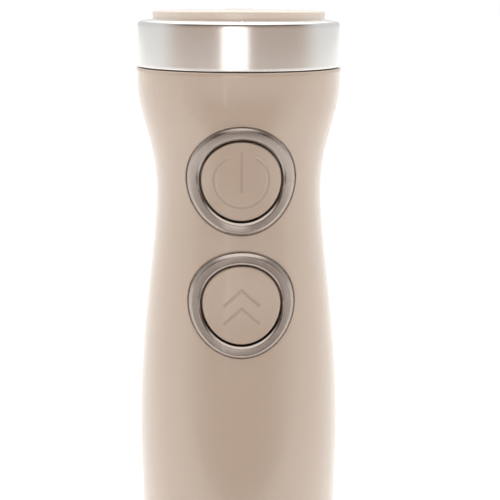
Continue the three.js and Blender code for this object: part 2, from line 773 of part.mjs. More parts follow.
// Fan below the motor: curved blades on a disc.
function coolingFan() {
  const [low, high, tip] = [socketDepth + 1.4, frameFoot - 1, motorRadius - 3];
  const bladeCount = 9;
  const hub = rod(shaftRadius + 3, low, high, 20);
  const disc = rod(tip, low, low + 1.2, 24);
  const vanes = Array.from({ length: bladeCount }, (_, i) => {
    const vane = block([0, -0.6, low + 0.6], [tip - shaftRadius - 2, 0.6, high]);
    vane.rotateZ(0.5).translate(shaftRadius + 1, 0, 0);
    return vane.rotateZ((2 * Math.PI * i) / bladeCount);
  });
  const trim = rod(tip, low, high, 24);
  const whole = common(join(hub, disc, ...vanes), trim);
  return cut(whole, rod(shaftRadius + gap, 0, handleHeight, 16));
}

// Male hexagon on the motor shaft.
function driveCoupler() {
  const hexagon = rod(couplerRadius, couplerFoot, couplerShoulder + 0.5, 6);
  const hub = rod(couplerRadius + 1.6, couplerShoulder, couplerTop, 24);
  return cut(join(hexagon, hub), rod(shaftRadius + gap, couplerFoot + 3.2, socketDepth, 16));
}

// ---------------------------------------------------------------- Joint with the leg

// Plug in the shell's foot that takes the leg's spigot and holds the latch ring.
function socketCollar() {
  const outer = footRadius - shellWall - gap;
  const floor = socketDepth - 1.2;
  const room = latchWire + 0.9;
  const ring = turned([
    [outer, gap], [outer, socketDepth - 4], [outer + 1, socketDepth - 3], [outer + 1, socketDepth],
    [shaftRadius + runningGap, socketDepth], [shaftRadius + runningGap, floor], [socketRadius, floor],
    [socketRadius, latchHeight + room], [latchRadius, latchHeight + room],
    [latchRadius, latchHeight - room], [socketRadius, latchHeight - room], [socketRadius, gap],
  ], 24);
  const pockets = bothSides.flatMap((side) => [
    sideRod(side, releaseFlange + gap, releaseInner - releaseTravel - gap, gripRadius, 20),
    sideRod(side, releaseStem + gap, socketRadius + 1, gripRadius, 12),
  ]).map((pocket) => pocket.translate(0, 0, latchHeight));
  return cut(common(ring, insideWall), ...pockets);
}

const releaseSurface = shellRadius(latchHeight);
const releaseFlange = releaseRadius + 0.8;

// The flange's face clears the shell's inside all round its edge.
const releaseFace = Math.min(...Array.from({ length: 16 }, (_, i) => {
  const angle = (i * Math.PI) / 8;
  const inside = shellRadius(latchHeight + releaseFlange * Math.sin(angle)) - shellWall;
  return Math.sqrt(inside ** 2 - (releaseFlange * Math.cos(angle)) ** 2);
})) - gap - 0.1;
const releaseInner = releaseFace - 1.4;
const releaseStem = 2.6;
const latchLong = latchRadius - latchWire - 0.9; // half length towards the buttons
const latchShort = spigotRadius - latchBite + gap + latchWire; // half width across them

// Oval wire ring: squeezed at its long ends, it opens out of the spigot's groove.
function latchRing() {
  const oval = new THREE.Curve();
  oval.getPoint = (t) => {
    const angle = 2 * Math.PI * t;
    return new THREE.Vector3(latchLong * Math.cos(angle), latchShort * Math.sin(angle), latchHeight);
  };
  const [steps, sides] = [28, 6];
  const positions = [];
  const corners = [];
  for (let i = 0; i < steps; i += 1) {
    const centre = oval.getPoint(i / steps);
    const ahead = oval.getPoint((i + 1) / steps).sub(oval.getPoint((i - 1) / steps)).normalize();
    const outward = new THREE.Vector3(ahead.y, -ahead.x, 0);
    for (let j = 0; j < sides; j += 1) {
      const turn = (2 * Math.PI * j) / sides;
      const spot = centre.clone().addScaledVector(outward, latchWire * Math.cos(turn));
      positions.push(spot.x, spot.y, spot.z + latchWire * Math.sin(turn));
      const [a, b] = [i * sides + j, i * sides + ((j + 1) % sides)];
      const [c, d] = [a, b].map((corner) => (corner + sides) % (steps * sides));
      corners.push(a, c, b, b, c, d);
    }
  }
  const geometry = new THREE.BufferGeometry();
  geometry.setAttribute('position', new THREE.Float32BufferAttribute(positions, 3));
  geometry.setIndex(corners);
  return geometry;
}

// Side button with a flange inside the shell and a stem that squeezes the latch ring.
function releaseButton(side) {
  const place = (geometry) => geometry.translate(0, 0, latchHeight);
  const cap = common(
    place(sideRod(side, releaseRadius, releaseInner + 0.2, gripRadius + beyond, 22)),
    insideShell(releaseProud));
  const grips = [-3, 0, 3].map((up) => {
    const bar = block([-0.4, -4.5, -0.4], [0.4, 4.5, 0.4]).rotateY(Math.PI / 4);
    return bar.translate(side * (releaseSurface + releaseProud), 0, latchHeight + up);
  });
  const flange = place(sideRod(side, releaseFlange, releaseInner, releaseFace, 20));
  const stem = place(sideRod(side, releaseStem, latchLong + latchWire + gap, releaseInner + 0.2, 10));
  return cut(join(cap, flange, stem), ...grips);
}

// ---------------------------------------------------------------- Leg

// Radius of the leg tube's outside: a slight taper, then a flare under the cream band.
function tubeOutline(offset, low, high) {
  const flareFoot = tubeTop - flareHeight;
  const flare = new THREE.CubicBezierCurve(
    point(tubeTopRadius, flareFoot), point(tubeTopRadius, flareFoot + 7),
    point(flareRadius, tubeTop - 11), point(flareRadius, tubeTop - 5));
  return [point(tubeRadius, low), ...flare.getPoints(5), point(flareRadius, high)]
    .map(({ x, y }) => [x + offset, y]);
}

const tubeRadiusAt = (height) =>
  tubeRadius + ((tubeTopRadius - tubeRadius) * (height - tubeFoot)) / (tubeTop - flareHeight - tubeFoot);

function legTube() {
  const inner = tubeOutline(-tubeWall, tubeFoot, tubeTop).reverse();
  return turned([...tubeOutline(0, tubeFoot, tubeTop), ...inner], 28);
}

// Cream band between tube and handle, with the plug below it and the spigot above it.
function legCollar() {
  const plug = flareRadius - tubeWall - gap;
  const [bite, reach] = [latchBite, latchWire + 0.9];
  const joint = legLength - gap;
  const spigotTop = legLength + spigotLength;
  const bore = spigotRadius - spigotWall;
  const latch = legLength + latchHeight;
  return turned([
    [plug, tubeTop - 4], [plug, tubeTop + gap], [flareRadius, tubeTop + gap],
    [footRadius - 0.6, joint - 1.4], [footRadius - 0.4, joint - 0.4], [footRadius - 0.8, joint],
    [spigotRadius, joint], [spigotRadius, latch - reach], [spigotRadius - bite, latch - reach],
    [spigotRadius - bite, latch + reach], [spigotRadius, latch + reach], [spigotRadius, spigotTop - 1],
    [spigotRadius - 1, spigotTop], [bore, spigotTop], [bore, tubeTop - 4],
  ], 28);
}

const bushBore = shaftRadius + gap;
const bush = (low) => tube(bushRadius, bushBore, low, low + bushLength, 14);

function upperCarrier() {
  const outer = tubeRadiusAt(carrierFoot) - tubeWall - gap;
  const seat = bushRadius + gap;
  return turned([
    [outer, carrierFoot], [outer, carrierTop], [outer - 2, carrierTop], [outer - 2, carrierFoot + 3],
    [seat + 2, carrierFoot + 3], [seat + 2, carrierTop], [seat, carrierTop], [seat, carrierFoot],
  ], 20);
}

// Plastic block in the guard's neck that holds the lower bush and the shaft seal.
function bearingCarrier() {
  const neck = tubeRadius - tubeWall - gap - bellWall - gap;
  const seat = bushRadius + gap;
  const top = bellHeight + neckHeight;
  return turned([
    [bossRadius - 1, bossFoot], [bossRadius, bossFoot + 1], [bossRadius, blockFoot], [neck, blockFoot],
    [neck, top], [seat, top], [seat, bossFoot + 4.2], [bushBore + 0.6, bossFoot + 4.2],
    [bushBore + 0.6, bossFoot + 3.8], [sealRadius + gap, bossFoot + 3.8], [sealRadius + gap, bossFoot],
  ], 20);
}

const sealRadius = 5.6;
const shaftSeal = () => turned([
  [sealRadius, bossFoot + 0.3], [sealRadius, bossFoot + 3.5], [bushBore + 0.5, bossFoot + 3.5],
  [bushBore + 0.5, bossFoot + 1.6], [bushBore, bossFoot + 1], [bushBore, bossFoot + 0.3],
], 16);

const bellFullness = 13; // how far the dome's side keeps on upwards
const domeSpread = 6; // how the dome's top runs out of the neck
const domeDrop = 9;

// Bell over the blade: an upright rim with arched openings, a dome and a neck.
function bellGuard() {
  const dome = (offset) => {
    const curve = new THREE.CubicBezierCurve(
      point(bellRadius - offset, bellRim),
      point(bellRadius - offset, bellRim + bellFullness - offset / 2),
      point(tubeRadius + domeSpread - offset / 2, bellHeight - domeDrop - offset),
      point(tubeRadius - offset, bellHeight - offset));
    return curve.getPoints(6).map(({ x, y }) => [x, y]);
  };
  const neck = tubeRadius - tubeWall - gap;
  const top = bellHeight + neckHeight;
  const shell = turned([
    [bellRadius, 0], ...dome(0), [neck, bellHeight], [neck, top], [neck - bellWall, top],
    [neck - bellWall, bellHeight], ...dome(bellWall).slice(0, -1).reverse(), [bellRadius - bellWall, 0],
  ], 36);
  const half = archWidth / 2;
  const arches = Array.from({ length: archCount }, (_, i) => {
    const outline = new THREE.Shape()
      .moveTo(-half, -1).lineTo(half, -1).lineTo(half, archHeight - half)
      .absarc(0, archHeight - half, half, 0, Math.PI).lineTo(-half, -1);
    const arch = raised(outline, 0, bellRadius + beyond, 6).rotateX(Math.PI / 2);
    return arch.rotateZ((2 * Math.PI * i) / archCount);
  });
  return cut(shell, ...arches);
}

// ---------------------------------------------------------------- Blade and its shaft

const bladeShaftFoot = bladeHeight - 4.6;
const bladeShaft = () => rod(shaftRadius, bladeShaftFoot, legLength - 1.5, 16);

// Two-winged blade, one tip bent up and one down, with a clamped hub.
function blade() {
  const reach = bellRadius - bellWall - bladeTipGap;
  const [bend, up, down] = [reach * 0.68, 0.65, 0.5];
  const half = bladeWidth / 2;
  const middle = bladeHeight + bladeThickness / 2;
  const plate = new THREE.Shape()
    .moveTo(-bend, -half * 0.8).quadraticCurveTo(0, -half * 1.7, bend, -half * 0.8)
    .lineTo(bend, half * 0.8).quadraticCurveTo(0, half * 1.7, -bend, half * 0.8);
  const flat = raised(plate, bladeHeight, bladeHeight + bladeThickness, 10);
  const tip = (side, rise) => {
    const length = (reach - bend) / Math.cos(rise);
    const outline = new THREE.Shape()
      .moveTo(-0.6, -half * 0.8).lineTo(length * 0.6, -half * 0.75)
      .quadraticCurveTo(length, -half * 0.6, length, half * 0.3)
      .lineTo(length * 0.8, half * 0.8).lineTo(-0.6, half * 0.8);
    const wing = raised(outline, -bladeThickness / 2, bladeThickness / 2, 6);
    wing.rotateY(-rise).translate(bend, 0, 0);
    return wing.rotateZ(side < 0 ? Math.PI : 0).translate(0, 0, middle);
  };
  const hub = rod(bossRadius - 2, bladeHeight, bladeHeight + 3.6, 24);
  return cut(join(flat, tip(1, up), tip(-1, -down), hub), rod(shaftRadius + gap, 0, bellHeight, 16));
}

// Domed nut under the blade.
function bladeNut() {
  const top = bladeHeight - gap;
  const nut = common(rod(4.6, top - 6, top, 6), turned([
    [0, top - 6], [2.8, top - 5.6], [4, top - 4.6], [4.6, top - 3.4], [4.6, top], [0, top],
  ], 12));
  return cut(nut, rod(shaftRadius + gap, bladeShaftFoot - gap, bladeHeight + 1, 16));
}

// Cup with a hexagonal well at the head of the blade shaft.
function shaftCoupler() {
  const top = legLength + couplerShoulder - runningGap;
  const cup = turned([
    [0, legLength - 7], [cupRadius - 2, legLength - 7], [cupRadius, legLength - 4], [cupRadius, top],
    [0, top],
  ], 20);
  const well = rod(couplerRadius + 2 * gap, legLength + gap, top + 1, 6);
  return cut(cup, well, rod(shaftRadius + gap, 0, legLength - 1.2, 16));
}

// ---------------------------------------------------------------- Assembly

const blender = new THREE.Group();
const leg = new THREE.Group();
const handle = new THREE.Group();
handle.position.z = legLength;
blender.add(leg, handle);

piece(handle, 'handle_housing', housing(), 'cream');
piece(handle, 'top_ring', topRing(), 'satin');
piece(handle, 'top_deck', topDeck(), 'black');
piece(handle, 'speed_dial', speedDial(), 'cream');
piece(handle, 'dial_spindle', dialSpindle(), 'white');
for (const [i, side] of bothSides.entries()) {
  const deckScrew = piece(handle, `deck_screw_${i + 1}`, screw(20), 'steel');
  deckScrew.position.set(side * screwPlace, 0, deckFloor + deckThickness + gap);
  const frameScrew = piece(handle, `frame_screw_${i + 1}`, screw(8), 'steel');
  frameScrew.position.set(side * bossPlace, -bossDepth - gap, bossHeight);
  frameScrew.rotation.x = Math.PI / 2;
}

for (const button of buttons) {
  piece(handle, `${button.name}_bezel`, bezel(button), 'satin');
  piece(handle, `${button.name}_button`, buttonCap(button), 'cream');
  piece(handle, `${button.name}_button_spring`, buttonSpring(button), 'steel');
  piece(handle, `${button.name}_switch`, switchBody(button), 'black');
  piece(handle, `${button.name}_switch_plunger`, switchPlunger(button), 'white');
}

piece(handle, 'switch_board', board(-switchBoardPlace, boardFoot, powerHeight + 9), 'board');
piece(handle, 'control_board', board(controlBoardPlace, boardFoot, railTop - 2), 'board');
piece(handle, 'capacitor', capacitor(), 'black');
piece(handle, 'potentiometer', potentiometer(), 'grey');
piece(handle, 'cord_gland', cordGland(), 'rubber');
piece(handle, 'cord_clamp', cordClamp(), 'grey');

piece(handle, 'motor_frame_front', frameHalf(-1), 'grey');
piece(handle, 'motor_frame_rear', frameRear(), 'grey');
piece(handle, 'motor_can', motorCan(), 'steel');
piece(handle, 'motor_end_cap', motorEndCap(), 'black');
for (const [i, label] of ['left', 'right'].entries()) {
  const side = bothSides[i];
  piece(handle, `magnet_${label}`, magnet(side), 'ferrite');
  piece(handle, `brush_${label}`, brush(side), 'ferrite');
  piece(handle, `motor_lead_${label}`, motorLead(side), 'rubber');
  piece(handle, `release_button_${label}`, releaseButton(side), 'cream');
}
for (const [i, label] of ['lower', 'upper'].entries()) {
  piece(handle, `motor_mount_${label}`, mountRing(mountHeights[i]), 'rubber');
  piece(handle, `motor_bearing_${label}`, bearing([motorFoot - 1.7, motorTop - 1][i]), 'steel');
}
piece(handle, 'motor_shaft', motorShaft(), 'steel');
piece(handle, 'armature', armature(), 'copper');
piece(handle, 'commutator', commutator(), 'copper');
piece(handle, 'cooling_fan', coolingFan(), 'white');
piece(handle, 'drive_coupler', driveCoupler(), 'black');
piece(handle, 'socket_collar', socketCollar(), 'grey');
piece(handle, 'latch_ring', latchRing(), 'steel');

piece(leg, 'leg_collar', legCollar(), 'cream');
piece(leg, 'leg_tube', legTube(), 'brushed');
piece(leg, 'bell_guard', bellGuard(), 'brushed');
piece(leg, 'bearing_carrier', bearingCarrier(), 'grey');
piece(leg, 'upper_carrier', upperCarrier(), 'grey');
piece(leg, 'lower_bush', bush(bossFoot + 4.5), 'bronze');
piece(leg, 'upper_bush', bush(carrierFoot), 'bronze');
piece(leg, 'shaft_seal', shaftSeal(), 'rubber');
piece(leg, 'blade_shaft', bladeShaft(), 'steel');
piece(leg, 'shaft_coupler', shaftCoupler(), 'black');
piece(leg, 'blade', blade(), 'steel');
piece(leg, 'blade_nut', bladeNut(), 'steel');

export default blender;
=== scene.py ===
import json
import math

import bmesh
import bpy
import numpy as np
from mathutils import Matrix, Vector


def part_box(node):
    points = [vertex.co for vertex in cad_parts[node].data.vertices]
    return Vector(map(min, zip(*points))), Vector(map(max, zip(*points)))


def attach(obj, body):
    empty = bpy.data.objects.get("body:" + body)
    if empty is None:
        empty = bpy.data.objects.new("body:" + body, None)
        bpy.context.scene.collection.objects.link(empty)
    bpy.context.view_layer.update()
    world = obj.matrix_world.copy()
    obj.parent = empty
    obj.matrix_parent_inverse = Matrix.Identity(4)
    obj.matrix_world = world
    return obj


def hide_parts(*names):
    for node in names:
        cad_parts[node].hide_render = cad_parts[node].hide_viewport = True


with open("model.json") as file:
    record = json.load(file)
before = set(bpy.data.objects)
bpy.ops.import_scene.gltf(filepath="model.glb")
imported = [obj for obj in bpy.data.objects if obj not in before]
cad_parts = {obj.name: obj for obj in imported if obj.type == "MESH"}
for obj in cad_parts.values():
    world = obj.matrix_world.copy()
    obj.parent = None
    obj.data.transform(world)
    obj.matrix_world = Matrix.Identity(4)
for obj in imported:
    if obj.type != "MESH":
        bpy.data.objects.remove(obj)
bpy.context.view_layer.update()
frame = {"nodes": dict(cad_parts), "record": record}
nodes = frame["nodes"]
print("frame loaded,", len(nodes), "nodes")

tau = 2 * math.pi
mm = 0.001
floorGap = 0.0002  # keeps the floor clear of the guard's rim, in metres
mergeReach = 2e-6  # vertices closer than this are one, in metres


# Shapes are in millimetres, with +Z up and the push buttons towards -Y.

# A cubic curve between two points, pulled towards two handles.
def cubic(p0, p1, p2, p3, count=48):
    t = np.linspace(0, 1, count)[:, None]
    p0, p1, p2, p3 = (np.array(p, float) for p in (p0, p1, p2, p3))
    return (1 - t) ** 3 * p0 + 3 * (1 - t) ** 2 * t * p1 + 3 * (1 - t) * t ** 2 * p2 + t ** 3 * p3


# A smooth step: 0 below 0, 1 above 1, and 3x^2 - 2x^3 between.
def smooth(x):
    x = np.clip(x, 0, 1)
    return x * x * (3 - 2 * x)


# A polyline whose corners are rounded: each corner gives way to a parabola between the two
# points cut back from it. points are (radius, height, rounding).
def rounded(points, steps=5):
    pts = [np.array(p[:2], float) for p in points]
    out = []
    for i, p in enumerate(pts):
        reach = points[i][2] if len(points[i]) > 2 else 0
        if reach == 0 or i in (0, len(pts) - 1):
            out.append(p)
            continue
        before, after = pts[i - 1] - p, pts[i + 1] - p
        before = p + before / np.linalg.norm(before) * min(reach, np.linalg.norm(before) * 0.49)
        after = p + after / np.linalg.norm(after) * min(reach, np.linalg.norm(after) * 0.49)
        for t in np.linspace(0, 1, steps + 1):
            out.append((1 - t) ** 2 * before + 2 * (1 - t) * t * p + t * t * after)
    return np.array(out)


# A profile of (radius, height) turned about Z: the point at radius r and angle a is
# (r sin a, -r cos a, height), on a grid of profile points by angles.
def lathe(profile, count=144):
    profile = np.asarray(profile, float)
    a = np.arange(count) * tau / count
    r, z = profile[:, :1], profile[:, 1:2]
    return np.stack([r * np.sin(a), -r * np.cos(a), np.broadcast_to(z, (len(profile), count))], -1)


# The closed profile's ring of points, with its first point again at the end.
def closed(profile):
    return np.vstack([profile, profile[:1]])


# Quads between neighbouring rows and columns of a grid; its columns join up unless open.
def gridFaces(rows, columns, start=0, openColumns=False):
    i, j = np.meshgrid(np.arange(rows - 1), np.arange(columns - openColumns), indexing="ij")
    k = (j + 1) % columns
    quads = np.stack([i * columns + j, i * columns + k, (i + 1) * columns + k, (i + 1) * columns + j], -1)
    return quads.reshape(-1, 4) + start


# One object from several grids, each (points, openColumns) or (points, faces): the vertices that
# meet are merged, so that seams and poles close, and the faces are turned outwards.
def makePiece(name, sheets, body, material, replaces, sharp, values=None):
    verts, faces, start = [], [], 0
    for points, rule in sheets:
        points = np.asarray(points, float)
        flat = points.reshape(-1, 3)
        if isinstance(rule, np.ndarray):
            faces.append(rule + start)
        else:
            faces.append(gridFaces(points.shape[0], points.shape[1], start, rule))
        verts.append(flat)
        start += len(flat)
    verts = np.vstack(verts) * mm
    faces = np.vstack(faces)
    mesh = bpy.data.meshes.new(name)
    mesh.vertices.add(len(verts))
    mesh.vertices.foreach_set("co", verts.astype(np.float32).ravel())
    mesh.loops.add(faces.size)
    mesh.loops.foreach_set("vertex_index", faces.astype(np.int32).ravel())
    mesh.polygons.add(len(faces))
    mesh.polygons.foreach_set("loop_start", np.arange(len(faces), dtype=np.int32) * 4)
    if values is not None:
        layer = mesh.attributes.new("mark", "FLOAT", "POINT")
        layer.data.foreach_set("value", np.asarray(values, np.float32).ravel())
    mesh.update(calc_edges=True)
    work = bmesh.new()
    work.from_mesh(mesh)
    bmesh.ops.remove_doubles(work, verts=work.verts, dist=mergeReach)
    bmesh.ops.dissolve_degenerate(work, edges=work.edges, dist=mergeReach / 20)
    bmesh.ops.recalc_face_normals(work, faces=work.faces)
    work.to_mesh(mesh)
    work.free()
    mesh.shade_smooth()
    mesh.set_sharp_from_angle(angle=math.radians(sharp))
    mesh.materials.append(material)
    obj = bpy.data.objects.new(name, mesh)
    bpy.context.scene.collection.objects.link(obj)
    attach(obj, body)
    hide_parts(*replaces)


# A node group with the given sockets; wire(nodes, links, groupInput, groupOutput) fills it.
def makeGroup(name, inputs, outputs, wire):
    group = bpy.data.node_groups.new(name, "ShaderNodeTree")
    for socketName, kind, value in inputs:
        socket = group.interface.new_socket(name=socketName, in_out="INPUT", socket_type=kind)
        if value is not None:
            socket.default_value = value
    for socketName, kind in outputs:
        group.interface.new_socket(name=socketName, in_out="OUTPUT", socket_type=kind)
    inside = group.nodes.new("NodeGroupInput")
    outside = group.nodes.new("NodeGroupOutput")
    wire(group.nodes, group.links, inside, outside)
    return group


def addNode(tree, kind, **settings):
    node = tree.new(kind)
    for key, value in settings.items():
        setattr(node, key, value)
    return node


# Stretched noise: coordinates times Stretch, then noise with some detail, from 0 to 1.
def wireGrain(tree, links, inside, outside):
    stretch = addNode(tree, "ShaderNodeVectorMath", operation="MULTIPLY")
    links.new(inside.outputs["Vector"], stretch.inputs[0])
    links.new(inside.outputs["Stretch"], stretch.inputs[1])
    noise = addNode(tree, "ShaderNodeTexNoise")
    noise.inputs["Detail"].default_value = 3
    links.new(stretch.outputs[0], noise.inputs["Vector"])
    links.new(inside.outputs["Scale"], noise.inputs["Scale"])
    links.new(noise.outputs["Fac"], outside.inputs["Value"])


# Slow mottle plus contrast: noise spread about its middle by Contrast, held from 0 to 1.
def wireMottle(tree, links, inside, outside):
    noise = addNode(tree, "ShaderNodeTexNoise")
    noise.inputs["Detail"].default_value = 2
    links.new(inside.outputs["Vector"], noise.inputs["Vector"])
    links.new(inside.outputs["Scale"], noise.inputs["Scale"])
    centred = addNode(tree, "ShaderNodeMath", operation="SUBTRACT")
    centred.inputs[1].default_value = 0.5
    spread = addNode(tree, "ShaderNodeMath", operation="MULTIPLY_ADD", use_clamp=True)
    spread.inputs[2].default_value = 0.5
    links.new(noise.outputs["Fac"], centred.inputs[0])
    links.new(centred.outputs[0], spread.inputs[0])
    links.new(inside.outputs["Contrast"], spread.inputs[1])
    links.new(spread.outputs[0], outside.inputs["Mask"])


# Two colours mixed by a mask.
def wireTint(tree, links, inside, outside):
    mix = addNode(tree, "ShaderNodeMix", data_type="RGBA")
    links.new(inside.outputs["Mask"], mix.inputs["Factor"])
    links.new(inside.outputs["Colour A"], mix.inputs[6])
    links.new(inside.outputs["Colour B"], mix.inputs[7])
    links.new(mix.outputs[2], outside.inputs["Colour"])


vector, number, colour = "NodeSocketVector", "NodeSocketFloat", "NodeSocketColor"
grainGroup = makeGroup(
    "fineGrain",
    [("Vector", vector, None), ("Stretch", vector, (1, 1, 1)), ("Scale", number, 2000)],
    [("Value", number)], wireGrain)
mottleGroup = makeGroup(
    "slowMottle",
    [("Vector", vector, None), ("Scale", number, 40), ("Contrast", number, 1.5)],
    [("Mask", number)], wireMottle)
tintGroup = makeGroup(
    "twoTone",
    [("Mask", number, 0.5), ("Colour A", colour, None), ("Colour B", colour, None)],
    [("Colour", colour)], wireTint)

# colourA and colourB are mixed by the mottle, rough runs between two values with it, and the grain is bump:
# scale per metre, stretch along X, Y and Z, and its height in metres. mark is a darker colour, painted shade
# in the engraved marks.
finishes = {
    "creamGloss": dict(
        slot="cream_shell", colourA=(0.562, 0.447, 0.363), colourB=(0.585, 0.468, 0.382),
        mottle=22, contrast=1.4, rough=(0.20, 0.27), coat=0.9, coatRough=0.08,
        grain=900, stretch=(1, 1, 1), height=0.0000016, mark=(0.497, 0.393, 0.320)),
    # The dial's cream: the shell's plastic painted paler, painted light standing in for the extra light that
    # the dial's skirt catches.
    "creamPaintedLight": dict(
        slot="cream_shell", colourA=(0.86, 0.755, 0.665), colourB=(0.88, 0.775, 0.685),
        mottle=22, contrast=1.4, rough=(0.24, 0.32), coat=0.6, coatRough=0.08,
        grain=900, stretch=(1, 1, 1), height=0.0000016),
    "satinBand": dict(
        slot="satin_metal", colourA=(0.77, 0.755, 0.745), colourB=(0.83, 0.815, 0.80),
        mottle=60, contrast=1.2, rough=(0.20, 0.25), metallic=1,
        grain=5200, stretch=(1, 1, 1), height=0.0000011),
    "satinBezel": dict(
        slot="satin_metal", colourA=(0.355, 0.308, 0.280), colourB=(0.410, 0.360, 0.330),
        mottle=120, contrast=1.4, rough=(0.22, 0.30), metallic=1,
        grain=5200, stretch=(1, 1, 1), height=0.000001),
    "brushedSteel": dict(
        slot="brushed_steel", colourA=(0.53, 0.525, 0.52), colourB=(0.58, 0.575, 0.57),
        mottle=30, contrast=1.2, rough=(0.24, 0.32), metallic=1,
        grain=1500, stretch=(1, 1, 0.03), height=0.0000009),
    "brightSteel": dict(
        slot="bright_steel", colourA=(0.56, 0.56, 0.56), colourB=(0.66, 0.66, 0.66),
        mottle=90, contrast=1.4, rough=(0.18, 0.30), metallic=1,
        grain=3200, stretch=(0.2, 1, 1), height=0.000003),
    "zincSteel": dict(
        slot="zinc_steel", colourA=(0.50, 0.50, 0.47), colourB=(0.63, 0.62, 0.58),
        mottle=160, contrast=2.2, rough=(0.30, 0.46), metallic=1,
        grain=2400, stretch=(1, 1, 1), height=0.000004),
    "bronze": dict(
        slot="bronze", colourA=(0.52, 0.36, 0.19), colourB=(0.66, 0.47, 0.27),
        mottle=300, contrast=2.4, rough=(0.34, 0.5), metallic=1,
        grain=4200, stretch=(1, 1, 1), height=0.000008),
    "copperWire": dict(
        slot="copper", colourA=(0.58, 0.25, 0.12), colourB=(0.74, 0.38, 0.20),
        mottle=220, contrast=2, rough=(0.25, 0.4), metallic=1,
        grain=2400, stretch=(0.15, 0.15, 2), height=0.00003),
    "blackPlastic": dict(
        slot="black_plastic", colourA=(0.022, 0.022, 0.023), colourB=(0.034, 0.033, 0.033),
        mottle=60, contrast=1.4, rough=(0.42, 0.56),
        grain=2600, stretch=(1, 1, 1), height=0.000008),
    "greyPlastic": dict(
        slot="grey_plastic", colourA=(0.235, 0.225, 0.215), colourB=(0.275, 0.265, 0.255),
        mottle=50, contrast=1.4, rough=(0.42, 0.58),
        grain=2400, stretch=(1, 1, 1), height=0.000008),
    "whitePlastic": dict(
        slot="white_plastic", colourA=(0.70, 0.68, 0.63), colourB=(0.76, 0.74, 0.70),
        mottle=50, contrast=1.4, rough=(0.36, 0.5),
        grain=2400, stretch=(1, 1, 1), height=0.000005),
    "blackRubber": dict(
        slot="black_rubber", colourA=(0.016, 0.016, 0.016), colourB=(0.03, 0.029, 0.028),
        mottle=90, contrast=1.8, rough=(0.62, 0.8),
        grain=3000, stretch=(1, 1, 1), height=0.000012),
    "circuitBoard": dict(
        slot="circuit_board", colourA=(0.022, 0.105, 0.045), colourB=(0.035, 0.16, 0.07),
        mottle=420, contrast=3, rough=(0.3, 0.42), coat=0.4, coatRough=0.15,
        grain=1500, stretch=(1, 1, 1), height=0.000006),
    "ferrite": dict(
        slot="ferrite", colourA=(0.035, 0.035, 0.038), colourB=(0.06, 0.06, 0.064),
        mottle=260, contrast=2, rough=(0.5, 0.66), metallic=0.3,
        grain=3000, stretch=(1, 1, 1), height=0.00001),
    "carbon": dict(
        slot="carbon", colourA=(0.02, 0.02, 0.02), colourB=(0.05, 0.05, 0.05),
        mottle=500, contrast=2, rough=(0.45, 0.6),
        grain=3600, stretch=(1, 1, 1), height=0.000008),
}


# One material from a row of finishes: mottle into colour and roughness, grain into bump, and any mark colour
# as painted shade in the engraved marks.
def makeMaterial(name, look):
    material = bpy.data.materials.new(name)
    material.use_nodes = True
    tree, links = material.node_tree.nodes, material.node_tree.links
    shader = tree["Principled BSDF"]
    shader.inputs["Metallic"].default_value = look.get("metallic", 0)
    shader.inputs["Coat Weight"].default_value = look.get("coat", 0)
    shader.inputs["Coat Roughness"].default_value = look.get("coatRough", 0.03)
    place = addNode(tree, "ShaderNodeTexCoord")
    mottle = addNode(tree, "ShaderNodeGroup", node_tree=mottleGroup)
    mottle.inputs["Scale"].default_value = look["mottle"]
    mottle.inputs["Contrast"].default_value = look["contrast"]
    links.new(place.outputs["Object"], mottle.inputs["Vector"])
    tint = addNode(tree, "ShaderNodeGroup", node_tree=tintGroup)
    tint.inputs["Colour A"].default_value = (*look["colourA"], 1)
    tint.inputs["Colour B"].default_value = (*look["colourB"], 1)
    links.new(mottle.outputs["Mask"], tint.inputs["Mask"])
    paint = tint.outputs["Colour"]
    # Painted shade: the engraved marks are darkened towards the mark colour, standing in for the shade in
    # their shallow grooves.
    if "mark" in look:
        engraved = addNode(tree, "ShaderNodeAttribute", attribute_name="mark")
        markShade = addNode(tree, "ShaderNodeGroup", node_tree=tintGroup)
        links.new(engraved.outputs["Fac"], markShade.inputs["Mask"])
        links.new(paint, markShade.inputs["Colour A"])
        markShade.inputs["Colour B"].default_value = (*look["mark"], 1)
        paint = markShade.outputs["Colour"]
    links.new(paint, shader.inputs["Base Color"])
    rough = addNode(tree, "ShaderNodeMapRange")
    rough.inputs["To Min"].default_value, rough.inputs["To Max"].default_value = look["rough"]
    links.new(mottle.outputs["Mask"], rough.inputs["Value"])
    links.new(rough.outputs["Result"], shader.inputs["Roughness"])
    grain = addNode(tree, "ShaderNodeGroup", node_tree=grainGroup)
    grain.inputs["Scale"].default_value = look["grain"]
    grain.inputs["Stretch"].default_value = look["stretch"]
    links.new(place.outputs["Object"], grain.inputs["Vector"])
    bump = addNode(tree, "ShaderNodeBump")
    bump.inputs["Distance"].default_value = look["height"]
    links.new(grain.outputs["Value"], bump.inputs["Height"])
    links.new(bump.outputs["Normal"], shader.inputs["Normal"])
    return material


materials = {name: makeMaterial(name, look) for name, look in finishes.items()}
print("finishes made,", len(materials))


